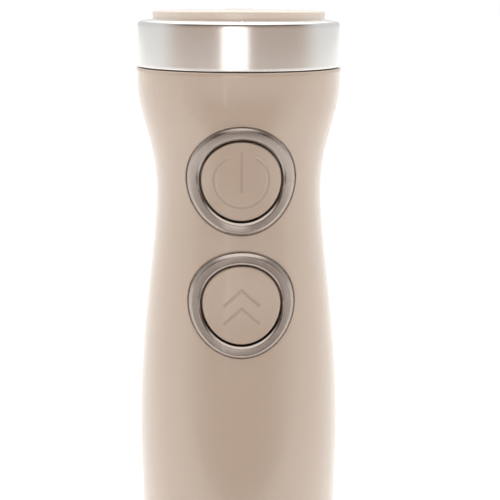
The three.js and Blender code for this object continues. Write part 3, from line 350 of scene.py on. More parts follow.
shell = dict(
    foot=208.0, top=379.86, wall=2.4, edge=0.4, edgeBow=0.12,
    footRadius=28.4, gripRadius=31.6, waistRadius=24.46, shoulderRadius=29.16,
    gripHeight=242.0, waistHeight=345.6, shoulderHeight=375.7,
    columns=144, fanRings=8, fanEase=1.25,
    rows=[(208.4, 212, 3), (212, 232, 14), (232, 239.4, 5), (239.4, 263.4, 10), (263.4, 300, 16),
          (300, 334.1, 26), (334.1, 356, 18), (356, 368, 10), (368, 376, 6), (376, 379.5, 4)],
)
grip, waist, shoulder = shell["gripRadius"], shell["waistRadius"], shell["shoulderRadius"]
outline = np.vstack([
    cubic((shell["footRadius"], shell["foot"]), (29.8, 219.9), (grip, 228.4), (grip, shell["gripHeight"])),
    cubic((grip, 259.9), (grip, 300.3), (waist, 328.8), (waist, shell["waistHeight"])),
    cubic((waist, shell["waistHeight"]), (waist, 359.4), (shoulder, 365.7),
          (shoulder, shell["shoulderHeight"]))[1:],
    [[shoulder, 380.5]],
])
places = dict(power=351.2, turbo=317.0, release=222.0, gland=366.0, firstVent=241.8, ventStep=4.8)


# The shell's radius at a height, read off its outline.
def shellRadius(z):
    return np.interp(z, outline[:, 1], outline[:, 0])


# A point on the shell moved outwards by an offset: (R sin a, -R cos a, z), R = radius + offset.
def onShell(a, z, offset=0.0):
    r = shellRadius(z) + offset
    return np.stack([r * np.sin(a), -r * np.cos(a), z + np.zeros_like(a)], -1)


# Where a straight bore round a sideways axis meets the shell: across p and up q from the
# bore's middle, the angle is the middle's plus the arcsine of p over the radius there.
def boreAngle(middle, p, z, offset=0.0):
    return middle + np.arcsin(np.clip(p / (shellRadius(z) + offset), -1, 1))


# A stadium of half width w and half height h, walked from its right end, at shares s of its
# length: two straights and two half circles, or a circle where w equals h.
def stadium(s, w, h):
    straight, bend = 2 * (w - h), math.pi * h
    walk = (np.asarray(s) % 1) * 2 * (straight + bend)
    p, q = np.zeros_like(walk), np.zeros_like(walk)
    stops = np.cumsum([bend / 2, straight, bend, straight, bend / 2])
    turn = walk / h
    one = walk < stops[0]
    p[one], q[one] = (w - h) + h * np.cos(turn[one]), h * np.sin(turn[one])
    two = (walk >= stops[0]) & (walk < stops[1])
    p[two], q[two] = (w - h) - (walk[two] - stops[0]), h
    three = (walk >= stops[1]) & (walk < stops[2])
    turn = math.pi / 2 + (walk - stops[1]) / h
    p[three], q[three] = -(w - h) + h * np.cos(turn[three]), h * np.sin(turn[three])
    four = (walk >= stops[2]) & (walk < stops[3])
    p[four], q[four] = -(w - h) + (walk[four] - stops[2]), -h
    five = walk >= stops[3]
    turn = 1.5 * math.pi + (walk - stops[3]) / h
    p[five], q[five] = (w - h) + h * np.cos(turn[five]), h * np.sin(turn[five])
    return p, q


# The edge of a bore rounded with a radius: rings from the skin into the bore's wall.
def rolled(half, tall, radius, steps=4):
    t = np.linspace(0, math.pi / 2, steps + 1)
    grow, sink = radius * (1 - np.sin(t)), -radius * (1 - np.cos(t))
    return [("skin", half + g, (tall or half) + g, v) for g, v in zip(grow, sink)]


# Rings round a sideways bore, each (kind, half width, half height, value): "skin" rings lie on
# the shell moved out by the value, "flat" rings lie square to the bore that far from the axis.
# With p across and q up from a stadium, a skin point is onShell(middle + asin(p / r), height + q).
def boreRings(middle, height, shares, rings):
    m = math.radians(middle)
    out = []
    for kind, half, tall, value in rings:
        p, q = stadium(shares, half, tall or half) if half else (0 * shares, 0 * shares)
        z = height + q
        if kind == "skin":
            out.append(onShell(boreAngle(m, p, z, value), z, value))
        else:
            out.append(np.stack([value * math.sin(m) + p * math.cos(m),
                                 -value * math.cos(m) + p * math.sin(m), z], -1))
    return np.array(out)


# Openings in the shell: the middle's angle and the spread each side in degrees, the rows that
# they lie between, and the rings of their walls from the outside in.
def seatWalls(outer, inner, depth):
    return rolled(outer, 0, 0.28) + [
        ("skin", outer, 0, -depth), ("skin", inner, 0, -depth), ("skin", inner, 0, -shell["wall"])]


seatSizes = (14.95, 12.85, 0.6)  # a bezel seat's outer and inner radius, and its depth
releaseBore, glandBore, glandHole, glandFlat = 7.3, 7.7, 5.8, 26.94
ventLong, ventTall, ventEdge = 12.0, 1.1, 2.4  # half sizes, and from a vent's middle to its rows
releaseWalls = rolled(releaseBore, 0, 0.25) + [("skin", releaseBore, 0, -shell["wall"])]
openings = [
    dict(middle=0, height=places["turbo"], spread=45, low=300, high=334.1, walls=seatWalls(*seatSizes)),
    dict(middle=0, height=places["power"], spread=45, low=334.1, high=368, walls=seatWalls(*seatSizes)),
    dict(middle=90, height=places["release"], spread=22.5, low=212, high=232, walls=releaseWalls),
    dict(middle=-90, height=places["release"], spread=22.5, low=212, high=232, walls=releaseWalls),
    dict(middle=180, height=places["gland"], spread=25, low=356, high=376,
         walls=rolled(glandBore, 0, 0.2) + [("flat", glandBore, 0, glandFlat),
                                            ("flat", glandHole, 0, glandFlat),
                                            ("skin", glandHole, 0, -shell["wall"])]),
] + [
    dict(middle=180, height=height, spread=30, low=height - ventEdge, high=height + ventEdge,
         walls=rolled(ventLong, ventTall, 0.25) + [("skin", ventLong, ventTall, -shell["wall"])])
    for height in (places["firstVent"] + places["ventStep"] * i for i in range(5))
]


# The shell: an outer and an inner grid of angles by heights with a rectangle left out at each
# opening. Each rectangle's edge is walked once round, and rings blend from it to the bore's edge,
# through the wall, and out again to the same edge on the inner grid.
def makeShell():
    heights = [shell["rows"][0][0]]
    for low, high, count in shell["rows"]:
        heights += list(np.linspace(low, high, count + 1)[1:])
    heights = np.array(heights)
    columns = shell["columns"]
    step = 360 / columns
    angles = np.arange(columns) * tau / columns
    keep = np.ones((len(heights) - 1, columns), bool)
    inner = heights.copy()
    inner[0], inner[-1] = shell["foot"], shell["top"]
    sheets = []
    for hole in openings:
        r0, r1 = (int(np.argmin(abs(heights - hole[k]))) for k in ("low", "high"))
        c0, c1 = (int(round((hole["middle"] + side * hole["spread"]) / step)) for side in (-1, 1))
        rm = int(np.argmin(abs(heights - hole["height"])))
        keep[r0:r1, np.arange(c0, c1) % columns] = False
        walk = ([(r, c1) for r in range(rm, r1 + 1)] + [(r1, c) for c in range(c1 - 1, c0 - 1, -1)]
                + [(r, c0) for r in range(r1 - 1, r0 - 1, -1)] + [(r0, c) for c in range(c0 + 1, c1 + 1)]
                + [(r, c1) for r in range(r0 + 1, rm)])
        rows, cols = np.array(walk).T
        edgeA = cols * tau / columns
        spots = np.stack([edgeA * shellRadius(hole["height"]), heights[rows]], -1)
        lengths = np.linalg.norm(np.roll(spots, -1, 0) - spots, axis=1)
        shares = np.concatenate([[0], np.cumsum(lengths)[:-1]]) / lengths.sum()
        m = math.radians(hole["middle"])
        fans = []
        skins = ((hole["walls"][0], 0.0, heights), (hole["walls"][-1], -shell["wall"], inner))
        for wall, offset, level in skins:
            p, q = stadium(shares, wall[1], wall[2] or wall[1])
            holeZ = hole["height"] + q
            holeA = boreAngle(m, p, holeZ, offset)
            fan = []
            for t in np.linspace(1, 0, shell["fanRings"] + 1)[:-1] ** shell["fanEase"]:
                fan.append(onShell(holeA + (edgeA - holeA) * t, holeZ + (level[rows] - holeZ) * t, offset))
            fans.append(np.array(fan))
        bore = boreRings(hole["middle"], hole["height"], shares, hole["walls"])
        sheets.append((np.concatenate([fans[0], bore, fans[1][::-1]]), False))
    kept = keep.ravel()
    for offset, level in ((0.0, heights), (-shell["wall"], inner)):
        points = onShell(angles[None, :], level[:, None], offset)
        sheets.append((points, gridFaces(len(heights), columns)[kept]))
    edge, wall = shell["edge"], shell["wall"]
    for z, rim in ((heights[0], shell["foot"]), (heights[-1], shell["top"])):
        ends = [(z, 0.0), (0.35 * z + 0.65 * rim, -shell["edgeBow"]), (rim, -edge), (rim, -wall)]
        sheets.append((np.array([onShell(angles, h + 0 * angles, o) for h, o in ends]), False))
    makePiece("handle_shell", sheets, "handle", materials["creamGloss"],
              ["handle_housing"], sharp=50)


makeShell()
print("shell made")


# The profile with extra points, so that no step is longer than the given one.
def dense(profile, step):
    out = [profile[0]]
    for a, b in zip(profile[:-1], profile[1:]):
        count = max(1, int(math.ceil(np.linalg.norm(b - a) / step)))
        out += [a + (b - a) * k / count for k in range(1, count + 1)]
    return np.array(out)


band = dict(foot=380.12, rim=392.2, lip=392.9, radius=29.0, topRadius=28.32, bore=24.4, wall=1.4,
            notchHalf=0.45, notchIn=25.3, notchOut=27.0, notchDepth=0.4)


# The band: its profile turned about Z; an index notch is pressed into the lip in front.
def makeBand():
    b = band
    inside = b["radius"] - b["wall"]
    profile = rounded([
        (inside, b["foot"]), (b["radius"], b["foot"], 0.3), (b["topRadius"], b["rim"] - 0.05, 0.95),
        (b["bore"], b["lip"], 0.35), (b["bore"], b["rim"] - 0.5, 0.1),
        (inside, b["rim"] - b["wall"] - 0.2, 0.2), (inside, b["foot"])])
    points = lathe(dense(profile, 0.6), 480)
    x, y, z = points[..., 0], points[..., 1], points[..., 2]
    reach = np.hypot(x, y)
    across = smooth((b["notchHalf"] - abs(x)) / 0.25 + 0.5)
    along = smooth((reach - b["notchIn"]) / 0.4 + 0.5) * smooth((b["notchOut"] - reach) / 0.4 + 0.5)
    points[..., 2] = z - np.where((y < 0) & (z > b["rim"] - 0.2), b["notchDepth"] * across * along, 0)
    makePiece("silver_band", [(points, False)], "handle", materials["satinBand"],
              ["top_ring"], sharp=35)


dial = dict(radius=24.1, crown=395.6, corner=394.98, cornerRadius=23.4, cornerFoot=394.2,
            skirtFoot=387.0, wall=2.4, scoopRadius=14.1, ribHalf=3.5, scoopDepth=1.15, soft=1.3,
            bossRadius=5.0, boreRadius=3.3)


# The dial: its profile turned about Z; two scoops, each the smaller of the distances in from the
# scoop's circle and from the rib's side, sink the top by a smooth step.
def makeDial():
    d = dial
    under, inner = d["crown"] - d["wall"], d["radius"] - d["wall"]
    turnIn = (d["cornerRadius"], d["corner"])
    top = cubic((0, d["crown"]), (8, d["crown"]), (16, d["crown"] - 0.25), turnIn, 90)
    corner = cubic(turnIn, (23.8, d["corner"] - 0.04), (d["radius"], 394.7),
                   (d["radius"], d["cornerFoot"]), 9)[1:]
    below = rounded([
        (d["radius"], d["cornerFoot"]), (d["radius"], d["skirtFoot"], 0.3), (inner, d["skirtFoot"], 0.3),
        (inner, under - 0.3, 0.4), (d["bossRadius"], under, 0.3),
        (d["bossRadius"], d["skirtFoot"] + 0.2, 0.2), (d["boreRadius"], d["skirtFoot"] + 0.2, 0.2),
        (d["boreRadius"], under), (0, under)])[1:]
    points = lathe(np.vstack([top, corner, below]), 240)
    face = points[:len(top) + len(corner)]
    x, y = face[..., 0], face[..., 1]
    inside = np.minimum(d["scoopRadius"] - np.hypot(x, y), abs(x) - d["ribHalf"])
    face[..., 2] -= d["scoopDepth"] * smooth(inside / d["soft"])
    # The dial takes the paler cream, painted light for the brightness of its skirt.
    makePiece("dial_cap", [(points, False)], "dial", materials["creamPaintedLight"],
              ["speed_dial"], sharp=50)


makeBand()
makeDial()
print("band and dial made")


# Distance from points (p, q) to the segment from a to b.
def toSegment(p, q, a, b):
    dx, dy = b[0] - a[0], b[1] - a[1]
    t = np.clip(((p - a[0]) * dx + (q - a[1]) * dy) / (dx * dx + dy * dy), 0, 1)
    return np.hypot(p - a[0] - t * dx, q - a[1] - t * dy)


# Power mark: distance to a ring that is open at its top, or to the bar in the opening.
def powerMark(p, q):
    ringRadius, middle, opening = 7.3, 0.15, 0.57
    angle = np.clip(abs(np.arctan2(p, q - middle)), opening, math.pi)
    side = np.where(p < 0, -1.0, 1.0)
    ring = np.hypot(p - side * ringRadius * np.sin(angle), q - middle - ringRadius * np.cos(angle))
    return np.minimum(ring, toSegment(p, q, (0, -2.8), (0, 8)))


# Boost mark: distance to two arrow heads, one above the other.
def boostMark(p, q):
    heads = [toSegment(abs(p), q, (0, low + 5.0), (4.8, low + 0.6)) for low in (-5.6, -0.6)]
    return np.minimum(*heads)


button = dict(
    capRadius=10.85, proud=0.3, dome=0.3, edge=0.45, wallDepth=1.2,
    bezelHole=11.42, bezelCrest=12.05, bezelShoulder=13.85, bezelRadius=14.65,
    skirtRadius=12.55, skirtGrip=1.9, seat=0.3, flangeRadius=12.25, flange=1.5, gap=0.3,
    markHalf=0.33, markSoft=0.2, markDepth=0.16, stemRadius=3.0,
)
pushes = [
    dict(label="power", height=places["power"], body="power_push", mark=powerMark),
    dict(label="turbo", height=places["turbo"], body="turbo_push", mark=boostMark),
]


# A bezel: rings of its section carried round the bore, those of the face following the shell.
def makeBezel(push, skirtPlane):
    b = button
    face = rounded([
        (b["bezelRadius"], -b["seat"]), (b["bezelRadius"], 0.25, 0.12), (b["bezelShoulder"], 0.88, 0.16),
        (b["bezelCrest"], 0.78, 0.16), (b["bezelHole"], 0.30, 0.12), (b["bezelHole"], -0.6)], 4)
    rings = [("skin", r, 0, h) for r, h in face]
    rings += [("flat", b["bezelHole"], 0, skirtPlane), ("flat", b["skirtRadius"], 0, skirtPlane),
              ("skin", b["skirtRadius"], 0, -b["seat"]), ("skin", b["bezelRadius"], 0, -b["seat"])]
    points = boreRings(0, push["height"], np.arange(160) / 160, rings)
    makePiece(push["label"] + "_ring", [(points, False)], "handle",
              materials["satinBezel"], [push["label"] + "_bezel"], sharp=35)


# A cap: rings from its middle outwards on the shell moved out by a low dome, sunk by a smooth
# step where the mark runs, then a rounded edge, the wall, the flange and the stem.
def makeCap(push, flangeFace, stemEnd):
    b = button
    shares = np.arange(224) / 224
    flat = b["capRadius"] - b["edge"]
    radii = np.linspace(0, flat, 84)
    rings, sink = [], []
    for r in radii:
        p, q = stadium(shares, r, r) if r else (0 * shares, 0 * shares)
        cut = smooth((b["markHalf"] + b["markSoft"] / 2 - push["mark"](p, q)) / b["markSoft"])
        sink.append(cut)
        rings.append(("skin", r, 0, b["proud"] + b["dome"] * (1 - (r / b["capRadius"]) ** 2)
                      - b["markDepth"] * cut))
    rim = b["proud"] + b["dome"] * (1 - (flat / b["capRadius"]) ** 2)
    for t in np.linspace(0, math.pi / 2, 7)[1:]:
        rings.append(("skin", flat + b["edge"] * math.sin(t), 0, rim - b["edge"] * (1 - math.cos(t))))
    back = flangeFace - b["flange"]
    rings += [("skin", b["capRadius"], 0, -b["wallDepth"])]
    rings += [("flat", r, 0, y) for r, y in (
        (b["capRadius"], flangeFace), (b["flangeRadius"] - 0.2, flangeFace),
        (b["flangeRadius"], flangeFace - 0.2), (b["flangeRadius"], back), (b["stemRadius"], back),
        (b["stemRadius"], stemEnd + 0.3), (b["stemRadius"] - 0.3, stemEnd), (0, stemEnd))]
    points = boreRings(0, push["height"], shares, rings)
    values = np.zeros(points.shape[:2])
    values[: len(sink)] = np.array(sink)
    makePiece(push["label"] + "_cap", [(points, False)], push["body"],
              materials["creamGloss"], [push["label"] + "_button"], sharp=50, values=values)


for push in pushes:
    surface = float(shellRadius(push["height"]))
    fall = surface - math.sqrt(surface ** 2 - button["skirtRadius"] ** 2)
    skirtPlane = surface - fall - button["skirtGrip"]
    stemEnd = -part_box(push["label"] + "_button")[1].y / mm
    makeBezel(push, skirtPlane)
    makeCap(push, skirtPlane - button["gap"], stemEnd)
print("push buttons made")


release = dict(radius=7.0, proud=0.7, edge=0.5, height=places["release"], wallDepth=1.0,
               flangeRadius=7.8, flange=1.4, flangeGap=0.4, stemRadius=2.6,
               grooveHalf=0.4, grooveLong=4.5, grooveDepth=0.3, grooves=(-3, 0, 3))


# A release button: rings from its middle out on the shell moved out, sunk along three short
# grooves by a rounded vee, then a rounded edge and the wall down to the flange.
def makeRelease(side, label):
    b = release
    shares = np.arange(128) / 128
    flat = b["radius"] - b["edge"]
    rings = []
    for r in np.linspace(0, flat, 48):
        p, q = stadium(shares, r, r) if r else (0 * shares, 0 * shares)
        away = np.min([toSegment(p, q, (-b["grooveLong"], up), (b["grooveLong"], up))
                       for up in b["grooves"]], axis=0)
        sink = b["grooveDepth"] * smooth(1 - away / (2 * b["grooveHalf"]))
        rings.append(("skin", r, 0, b["proud"] - sink))
    for t in np.linspace(0, math.pi / 2, 6)[1:]:
        rings.append(("skin", flat + b["edge"] * math.sin(t), 0,
                      b["proud"] - b["edge"] * (1 - math.cos(t))))
    low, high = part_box("release_button_" + label)
    inner = min(abs(low.x), abs(high.x)) / mm  # the stem's end
    turn = np.linspace(0, tau, 16, endpoint=False)
    around = (shellRadius(b["height"] + b["flangeRadius"] * np.sin(turn)) - shell["wall"]) ** 2
    face = float(np.sqrt(around - (b["flangeRadius"] * np.cos(turn)) ** 2).min()) - b["flangeGap"]
    back = face - b["flange"]
    rings += [("skin", b["radius"], 0, -b["wallDepth"])]
    rings += [("flat", r, 0, d) for r, d in (
        (b["radius"], face), (b["flangeRadius"], face), (b["flangeRadius"], back),
        (b["stemRadius"], back), (b["stemRadius"], inner), (0, inner))]
    points = boreRings(90 * side, b["height"], shares, rings)
    makePiece("release_" + label + "_cap", [(points, False)], "release_" + label,
              materials["creamGloss"], ["release_button_" + label], sharp=50)


makeRelease(-1, "left")
makeRelease(1, "right")


# A profile of (radius, distance) turned about the line through a height along +Y.
def latheBack(profile, height, count=96):
    points = lathe(profile, count)
    return np.stack([points[..., 0], points[..., 2], height + points[..., 1]], -1)


gland = dict(bore=3.75, neck=5.5, barb=6.5, barbLong=2.0, collar=7.4, seat=27.24)


# The gland: a rubber bush with a barb inside, a rounded collar outside and a groove in the
# collar's face, turned about Y.
def makeGland():
    g = gland
    low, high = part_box("cord_gland")
    back, face = low.y / mm, high.y / mm
    barbTop = back + g["barbLong"]
    profile = rounded([
        (g["bore"], back), (g["neck"], back, 0.3), (g["barb"], back + 1.2, 0.2), (g["barb"], barbTop, 0.2),
        (g["neck"], barbTop), (g["neck"], g["seat"]), (g["collar"], g["seat"]),
        (g["collar"], face - 0.2, 0.9), (6.1, face, 0.25), (5.8, face - 0.35, 0.2),
        (5.3, face - 0.35, 0.2), (5.0, face, 0.2), (4.5, face, 0.2), (g["bore"], face - 0.5, 0.4),
        (g["bore"], back)], 4)
    makePiece("gland", [(latheBack(profile, places["gland"]), False)], "handle",
              materials["blackRubber"], ["cord_gland"], sharp=50)


makeGland()
print("release buttons and gland made")


leg = dict(
    collarFoot=198.3, collarRadius=24.5, jointRadius=28.0, joint=207.7, spigotRadius=17.0,
    spigotTop=228.0, bore=14.0, grooveLow=220.5, grooveHigh=223.5, bite=1.5, plugFoot=194.0,
    plugRadius=23.2, tubeFoot=36.3, tubeTop=198.0, tubeRadius=15.0, tubeTopRadius=17.0, tubeWall=1.0,
    tubeEdge=0.2, flareLong=18.0,
)


# The collar: a cream band that widens to the handle, with the plug below and spigot above it.
def makeCollar():
    d = leg
    spigot, groove = d["spigotRadius"], d["spigotRadius"] - d["bite"]
    profile = rounded([
        (d["bore"], d["plugFoot"]), (d["plugRadius"], d["plugFoot"], 0.4),
        (d["plugRadius"], d["collarFoot"]), (d["collarRadius"], d["collarFoot"], 0.3),
        (d["jointRadius"] - 0.25, d["joint"] - 1.5, 1.6), (d["jointRadius"] - 0.05, d["joint"], 0.35),
        (spigot, d["joint"], 0.3), (spigot, d["grooveLow"], 0.2), (groove, d["grooveLow"], 0.2),
        (groove, d["grooveHigh"], 0.2), (spigot, d["grooveHigh"], 0.2), (spigot, d["spigotTop"], 0.9),
        (d["bore"], d["spigotTop"], 0.3), (d["bore"], d["plugFoot"])])
    makePiece("leg_band", [(lathe(dense(profile, 2.5), 144), False)], "leg",
              materials["creamGloss"], ["leg_collar"], sharp=45)


# The tube: a slow taper, then a flare, outside and again inside its wall, turned about Z.
def makeTube():
    d = leg
    foot, top, wall, edge = d["tubeFoot"], d["tubeTop"], d["tubeWall"], d["tubeEdge"]
    flareFoot = top - d["flareLong"]
    flare = cubic((d["tubeTopRadius"], flareFoot), (d["tubeTopRadius"], flareFoot + 7),
                  (d["collarRadius"], top - 11), (d["collarRadius"], top - 5), 26)
    straight = np.array([[d["tubeRadius"], foot + 2 * edge], [d["tubeTopRadius"], flareFoot]])
    outside = np.vstack([dense(straight, 4)[:-1], flare, [[d["collarRadius"], top - edge]]])
    inside = (outside - (wall, 0))[::-1]
    profile = np.vstack([
        [[d["tubeRadius"] - edge, foot]], outside, [[d["collarRadius"] - edge, top]],
        [[d["collarRadius"] - wall + edge, top]], inside, [[d["tubeRadius"] - wall + edge, foot]]])
    makePiece("steel_tube", [(lathe(closed(profile), 144), False)], "leg",
              materials["brushedSteel"], ["leg_tube"], sharp=35)


bell = dict(radius=33.0, wall=1.4, rim=10.0, height=36.0, neckTop=50.0, neckRadius=13.7, tubeRadius=15.0,
            archHalf=7.5, archHeight=11.0, archCount=4, apron=15.0, edge=0.35)


# The bell's radius at a height, for its outside moved in by an offset.
def bellOutline(offset):
    b = bell
    return cubic((b["radius"] - offset, b["rim"]), (b["radius"] - offset, b["rim"] + 13 - offset / 2),
                 (b["tubeRadius"] + 6 - offset / 2, b["height"] - 9 - offset),
                 (b["tubeRadius"] - offset, b["height"] - offset), 60)


# The rim's edge walked once round: along the foot, and up, over and down each arch. It returns
# angles and heights, with the arch's sides at the angle whose sine is its half width over the radius.
def rimWalk(radius):
    b = bell
    half, spring = b["archHalf"], b["archHeight"] - b["archHalf"]
    up = np.linspace(0, spring, 5)[:-1]
    bow = np.linspace(0, math.pi, 29)
    across = np.concatenate([np.full(4, half), half * np.cos(bow), np.full(4, -half)])
    rise = np.concatenate([up, spring + half * np.sin(bow), up[::-1]])
    archA = -np.arcsin(across / radius)
    edge = math.asin(half / radius)
    foot = np.linspace(edge, tau / b["archCount"] - edge, 26)[1:-1]
    one = np.concatenate([archA, foot])
    angles = np.concatenate([one + i * tau / b["archCount"] for i in range(b["archCount"])])
    heights = np.tile(np.concatenate([rise, 0 * foot]), b["archCount"])
    return angles, heights


# A ring of points about Z: (r sin a, -r cos a, z) at angles a.
def ringAt(r, a, z):
    return np.stack([r * np.sin(a), -r * np.cos(a), z + 0 * a], -1)


# The bell: from the walked edge, lines run straight in angle and height up to an even ring above
# the arches, then on up the dome to the neck, down inside, and back to the edge, which is
# rounded by half a turn of rings from the outer skin to the inner.
def makeBell():
    b = bell
    angles, heights = rimWalk(b["radius"])
    count = len(angles)
    even = angles[0] + np.arange(count) * tau / count
    even += np.mean(np.unwrap(angles) - even)
    sides = []
    for offset in (0.0, b["wall"]):
        dome = bellOutline(offset)
        rows = []
        for t in np.linspace(0, 1, 9):
            z = heights + (b["apron"] - heights) * t + (b["edge"] if t == 0 else 0)
            rows.append(ringAt(np.interp(z, dome[:, 1], dome[:, 0]), angles + (even - angles) * t, z))
        rows += [ringAt(r, even, z) for r, z in dome if z > b["apron"] + 0.3]
        sides.append(np.array(rows))
    outer, inner = sides
    neck = [(b["neckRadius"], b["height"]), (b["neckRadius"], b["neckTop"]),
            (b["neckRadius"] - b["wall"], b["neckTop"]), (b["neckRadius"] - b["wall"], b["height"])]
    collar = np.array([ringAt(r, even, z) for r, z in neck])
    edge = []
    for t in np.linspace(0, math.pi, 7)[1:-1]:
        ring = outer[0] + (inner[0] - outer[0]) * (1 - math.cos(t)) / 2
        ring[:, 2] -= b["edge"] * math.sin(t)
        edge.append(ring)
    points = np.concatenate([outer, collar, inner[::-1], np.array(edge)[::-1], outer[:1]])
    makePiece("bell", [(points, False)], "leg", materials["brushedSteel"],
              ["bell_guard"], sharp=45)


makeCollar()
makeTube()
makeBell()


# The boss under the bell: a plastic block round the shaft, and the rubber lip seal in it.
def makeBoss():
    boss = rounded([
        (5.9, 18.0), (8.0, 18.0, 0.8), (8.0, 37.0, 0.4), (12.0, 37.0), (12.0, 50.0), (4.9, 50.0),
        (4.9, 22.2), (3.4, 22.2), (3.4, 21.8), (5.9, 21.8), (5.9, 18.0)])
    makePiece("shaft_boss", [(lathe(boss, 96), False)], "leg",
              materials["greyPlastic"], ["bearing_carrier"], sharp=40)
    seal = rounded([
        (2.85, 18.3), (3.3, 18.15, 0.2), (5.0, 18.3, 0.2), (5.6, 18.5, 0.2), (5.6, 21.5, 0.2), (3.3, 21.5),
        (3.3, 19.6, 0.2), (2.85, 19.0, 0.1), (2.85, 18.3)])
    makePiece("lip_seal", [(lathe(seal, 96), False)], "leg",
              materials["blackRubber"], ["shaft_seal"], sharp=40)


makeBoss()
print("leg made")


cutter = dict(reach=22.6, bend=15.4, bendSoft=0.8, upRise=0.65, downRise=-0.5, sweep=0.9,
              halfWidth=4.25, waist=0.8, swell=0.45, swellLong=7.0, tipTaper=0.94,
              bevelWide=0.42, foot=11.5, thickness=1.6, hubRadius=6.0, hubHeight=3.6, hole=2.8)


# The blade: a grid along (s) and across (t) its plan. The half width swells at the hub and
# narrows at the tips, each wing bends about a line, and the section thins to a cutting edge on
# the side that leads. The bottom is the bent plane and the top stands over it by the section.
def makeBlade():
    c = cutter
    count, across = 121, 25
    s = np.linspace(-1, 1, count)[:, None]
    t = np.linspace(-1, 1, across)[None, :]
    x = c["reach"] * s
    beyond = np.clip((abs(x) - c["bend"]) / (c["reach"] - c["bend"]), 0, 1)
    half = c["halfWidth"] * (c["waist"] + c["swell"] * np.exp(-(x / c["swellLong"]) ** 2))
    half = half * np.sqrt(1 - c["tipTaper"] * beyond ** 4)
    lead = np.sign(s) * t  # the wings lead on opposite sides
    y = half * t + np.sign(s) * beyond ** 2 * c["sweep"]
    rise = np.where(s > 0, math.tan(c["upRise"]), math.tan(c["downRise"]))
    past = abs(x) - c["bend"]
    z = c["foot"] + c["thickness"] / 2 + rise * (np.sqrt(past ** 2 + c["bendSoft"]) + past) / 2
    z = z - rise * (np.sqrt(c["bend"] ** 2 + c["bendSoft"]) - c["bend"]) / 2
    bevel = np.clip((1 - lead) / c["bevelWide"], 0.12, 1) * np.clip((1.02 - abs(s)) / 0.05, 0.3, 1)
    bevel = np.where(abs(x) < c["hubRadius"], np.maximum(bevel, 0.6), bevel)
    section = c["thickness"] / 2 * np.minimum(bevel, np.clip((1 + lead) / 0.06, 0.7, 1))
    upper = np.stack([x + 0 * y, y, z - c["thickness"] / 2 + 2 * section], -1)
    lower = np.stack([x + 0 * y, y, z - c["thickness"] / 2 + 0 * y], -1)
    around = np.concatenate([upper, lower[:, ::-1]], 1)
    ends = [(np.stack([upper[i], lower[i]]), True) for i in (0, -1)]
    hub = rounded([
        (c["hole"], c["foot"] + 0.05), (c["hubRadius"], c["foot"] + 0.05),
        (c["hubRadius"], c["foot"] + c["hubHeight"], 0.5), (c["hole"], c["foot"] + c["hubHeight"], 0.3),
        (c["hole"], c["foot"] + 0.05)])
    makePiece("cutter_blade", [(around, False)] + ends + [(lathe(hub, 72), False)], "blade_rotor",
              materials["brightSteel"], ["blade"], sharp=25)


nut = dict(foot=5.2, top=11.2, radius=4.7, flat=4.0, bore=2.8, boreFoot=7.0)


# The nut: a domed profile turned about Z, its radius held inside a hexagon, the hexagon's
# distance at an angle being its flat's distance over the cosine to the nearest flat.
def makeNut():
    n, count = nut, 144
    profile = rounded([
        (0, n["foot"]), (2.8, n["foot"] + 0.15, 0.6), (4.2, 6.4, 0.9), (n["radius"], 8.2, 0.5),
        (n["radius"], n["top"]), (n["bore"], n["top"]), (n["bore"], n["boreFoot"]), (0, n["boreFoot"])])
    points = lathe(dense(profile, 0.5), count)
    a = np.arange(count) * tau / count
    flat = n["flat"] / np.cos((a + math.pi / 6) % (math.pi / 3) - math.pi / 6)
    reach = np.hypot(points[..., 0], points[..., 1])
    held = np.minimum(reach, flat[None, :])
    scale = np.where(reach > 0, held / np.maximum(reach, 1e-9), 1)
    points[..., :2] *= scale[..., None]
    makePiece("dome_nut", [(points, False)], "blade_rotor", materials["brightSteel"],
              ["blade_nut"], sharp=30)


makeBlade()
makeNut()
print("blade made")


# The inner pieces keep their solids, each with the finish of its material slot.
slotFinish = {look["slot"]: name for name, look in finishes.items()}
slotFinish.update({"cream_shell": "creamGloss", "satin_metal": "satinBand", "brushed_steel": "brushedSteel"})
slotOf = {row["node"]: row["material_slot"] for row in frame["record"]["subparts"]}
for name, obj in nodes.items():
    obj.data.materials.clear()
    obj.data.materials.append(materials[slotFinish[slotOf[name]]])


studio = dict(
    floorSize=120.0, floorColour=(0.97, 0.97, 0.97),
    frontColour=(0.47, 0.362, 0.295), highColour=(0.10, 0.078, 0.065), backColour=(0.76, 0.765, 0.76),
    skyColour=(1.85, 1.82, 1.76), worldStrength=1.0, sunPower=0.6, sunSpread=70, sunTilt=38,
    frontFade=(0.2, -0.42), highFade=(0.18, 0.34), skyFade=(0.52, 0.84),
    cardWidth=1.6, cardPlace=-0.42, cardTop=0.335, cardColour=(0.24, 0.185, 0.16),
    cardPale=(0.8, 0.79, 0.78), cardAcross=(0.1, 0.7), cardUp=(0.17, 0.33),
    eye=(-0.0075, -0.2446, 0.3952), pitch=15.97, yaw=2.56, roll=0.24, lens=60.38,
)


# A smooth step of a node's output between two values.
def addFade(tree, links, source, span):
    fade = addNode(tree, "ShaderNodeMapRange", interpolation_type="SMOOTHSTEP")
    fade.inputs["From Min"].default_value, fade.inputs["From Max"].default_value = span
    links.new(source, fade.inputs["Value"])
    return fade.outputs[0]


# Two colours mixed by a node's output; each is a colour of three numbers or another node's output.
def addMix(tree, links, factor, first, second):
    mix = addNode(tree, "ShaderNodeMix", data_type="RGBA")
    links.new(factor, mix.inputs["Factor"])
    for socket, paint in ((mix.inputs[6], first), (mix.inputs[7], second)):
        if isinstance(paint, tuple):
            socket.default_value = (*paint, 1)
        else:
            links.new(paint, socket)
    return mix.outputs[2]


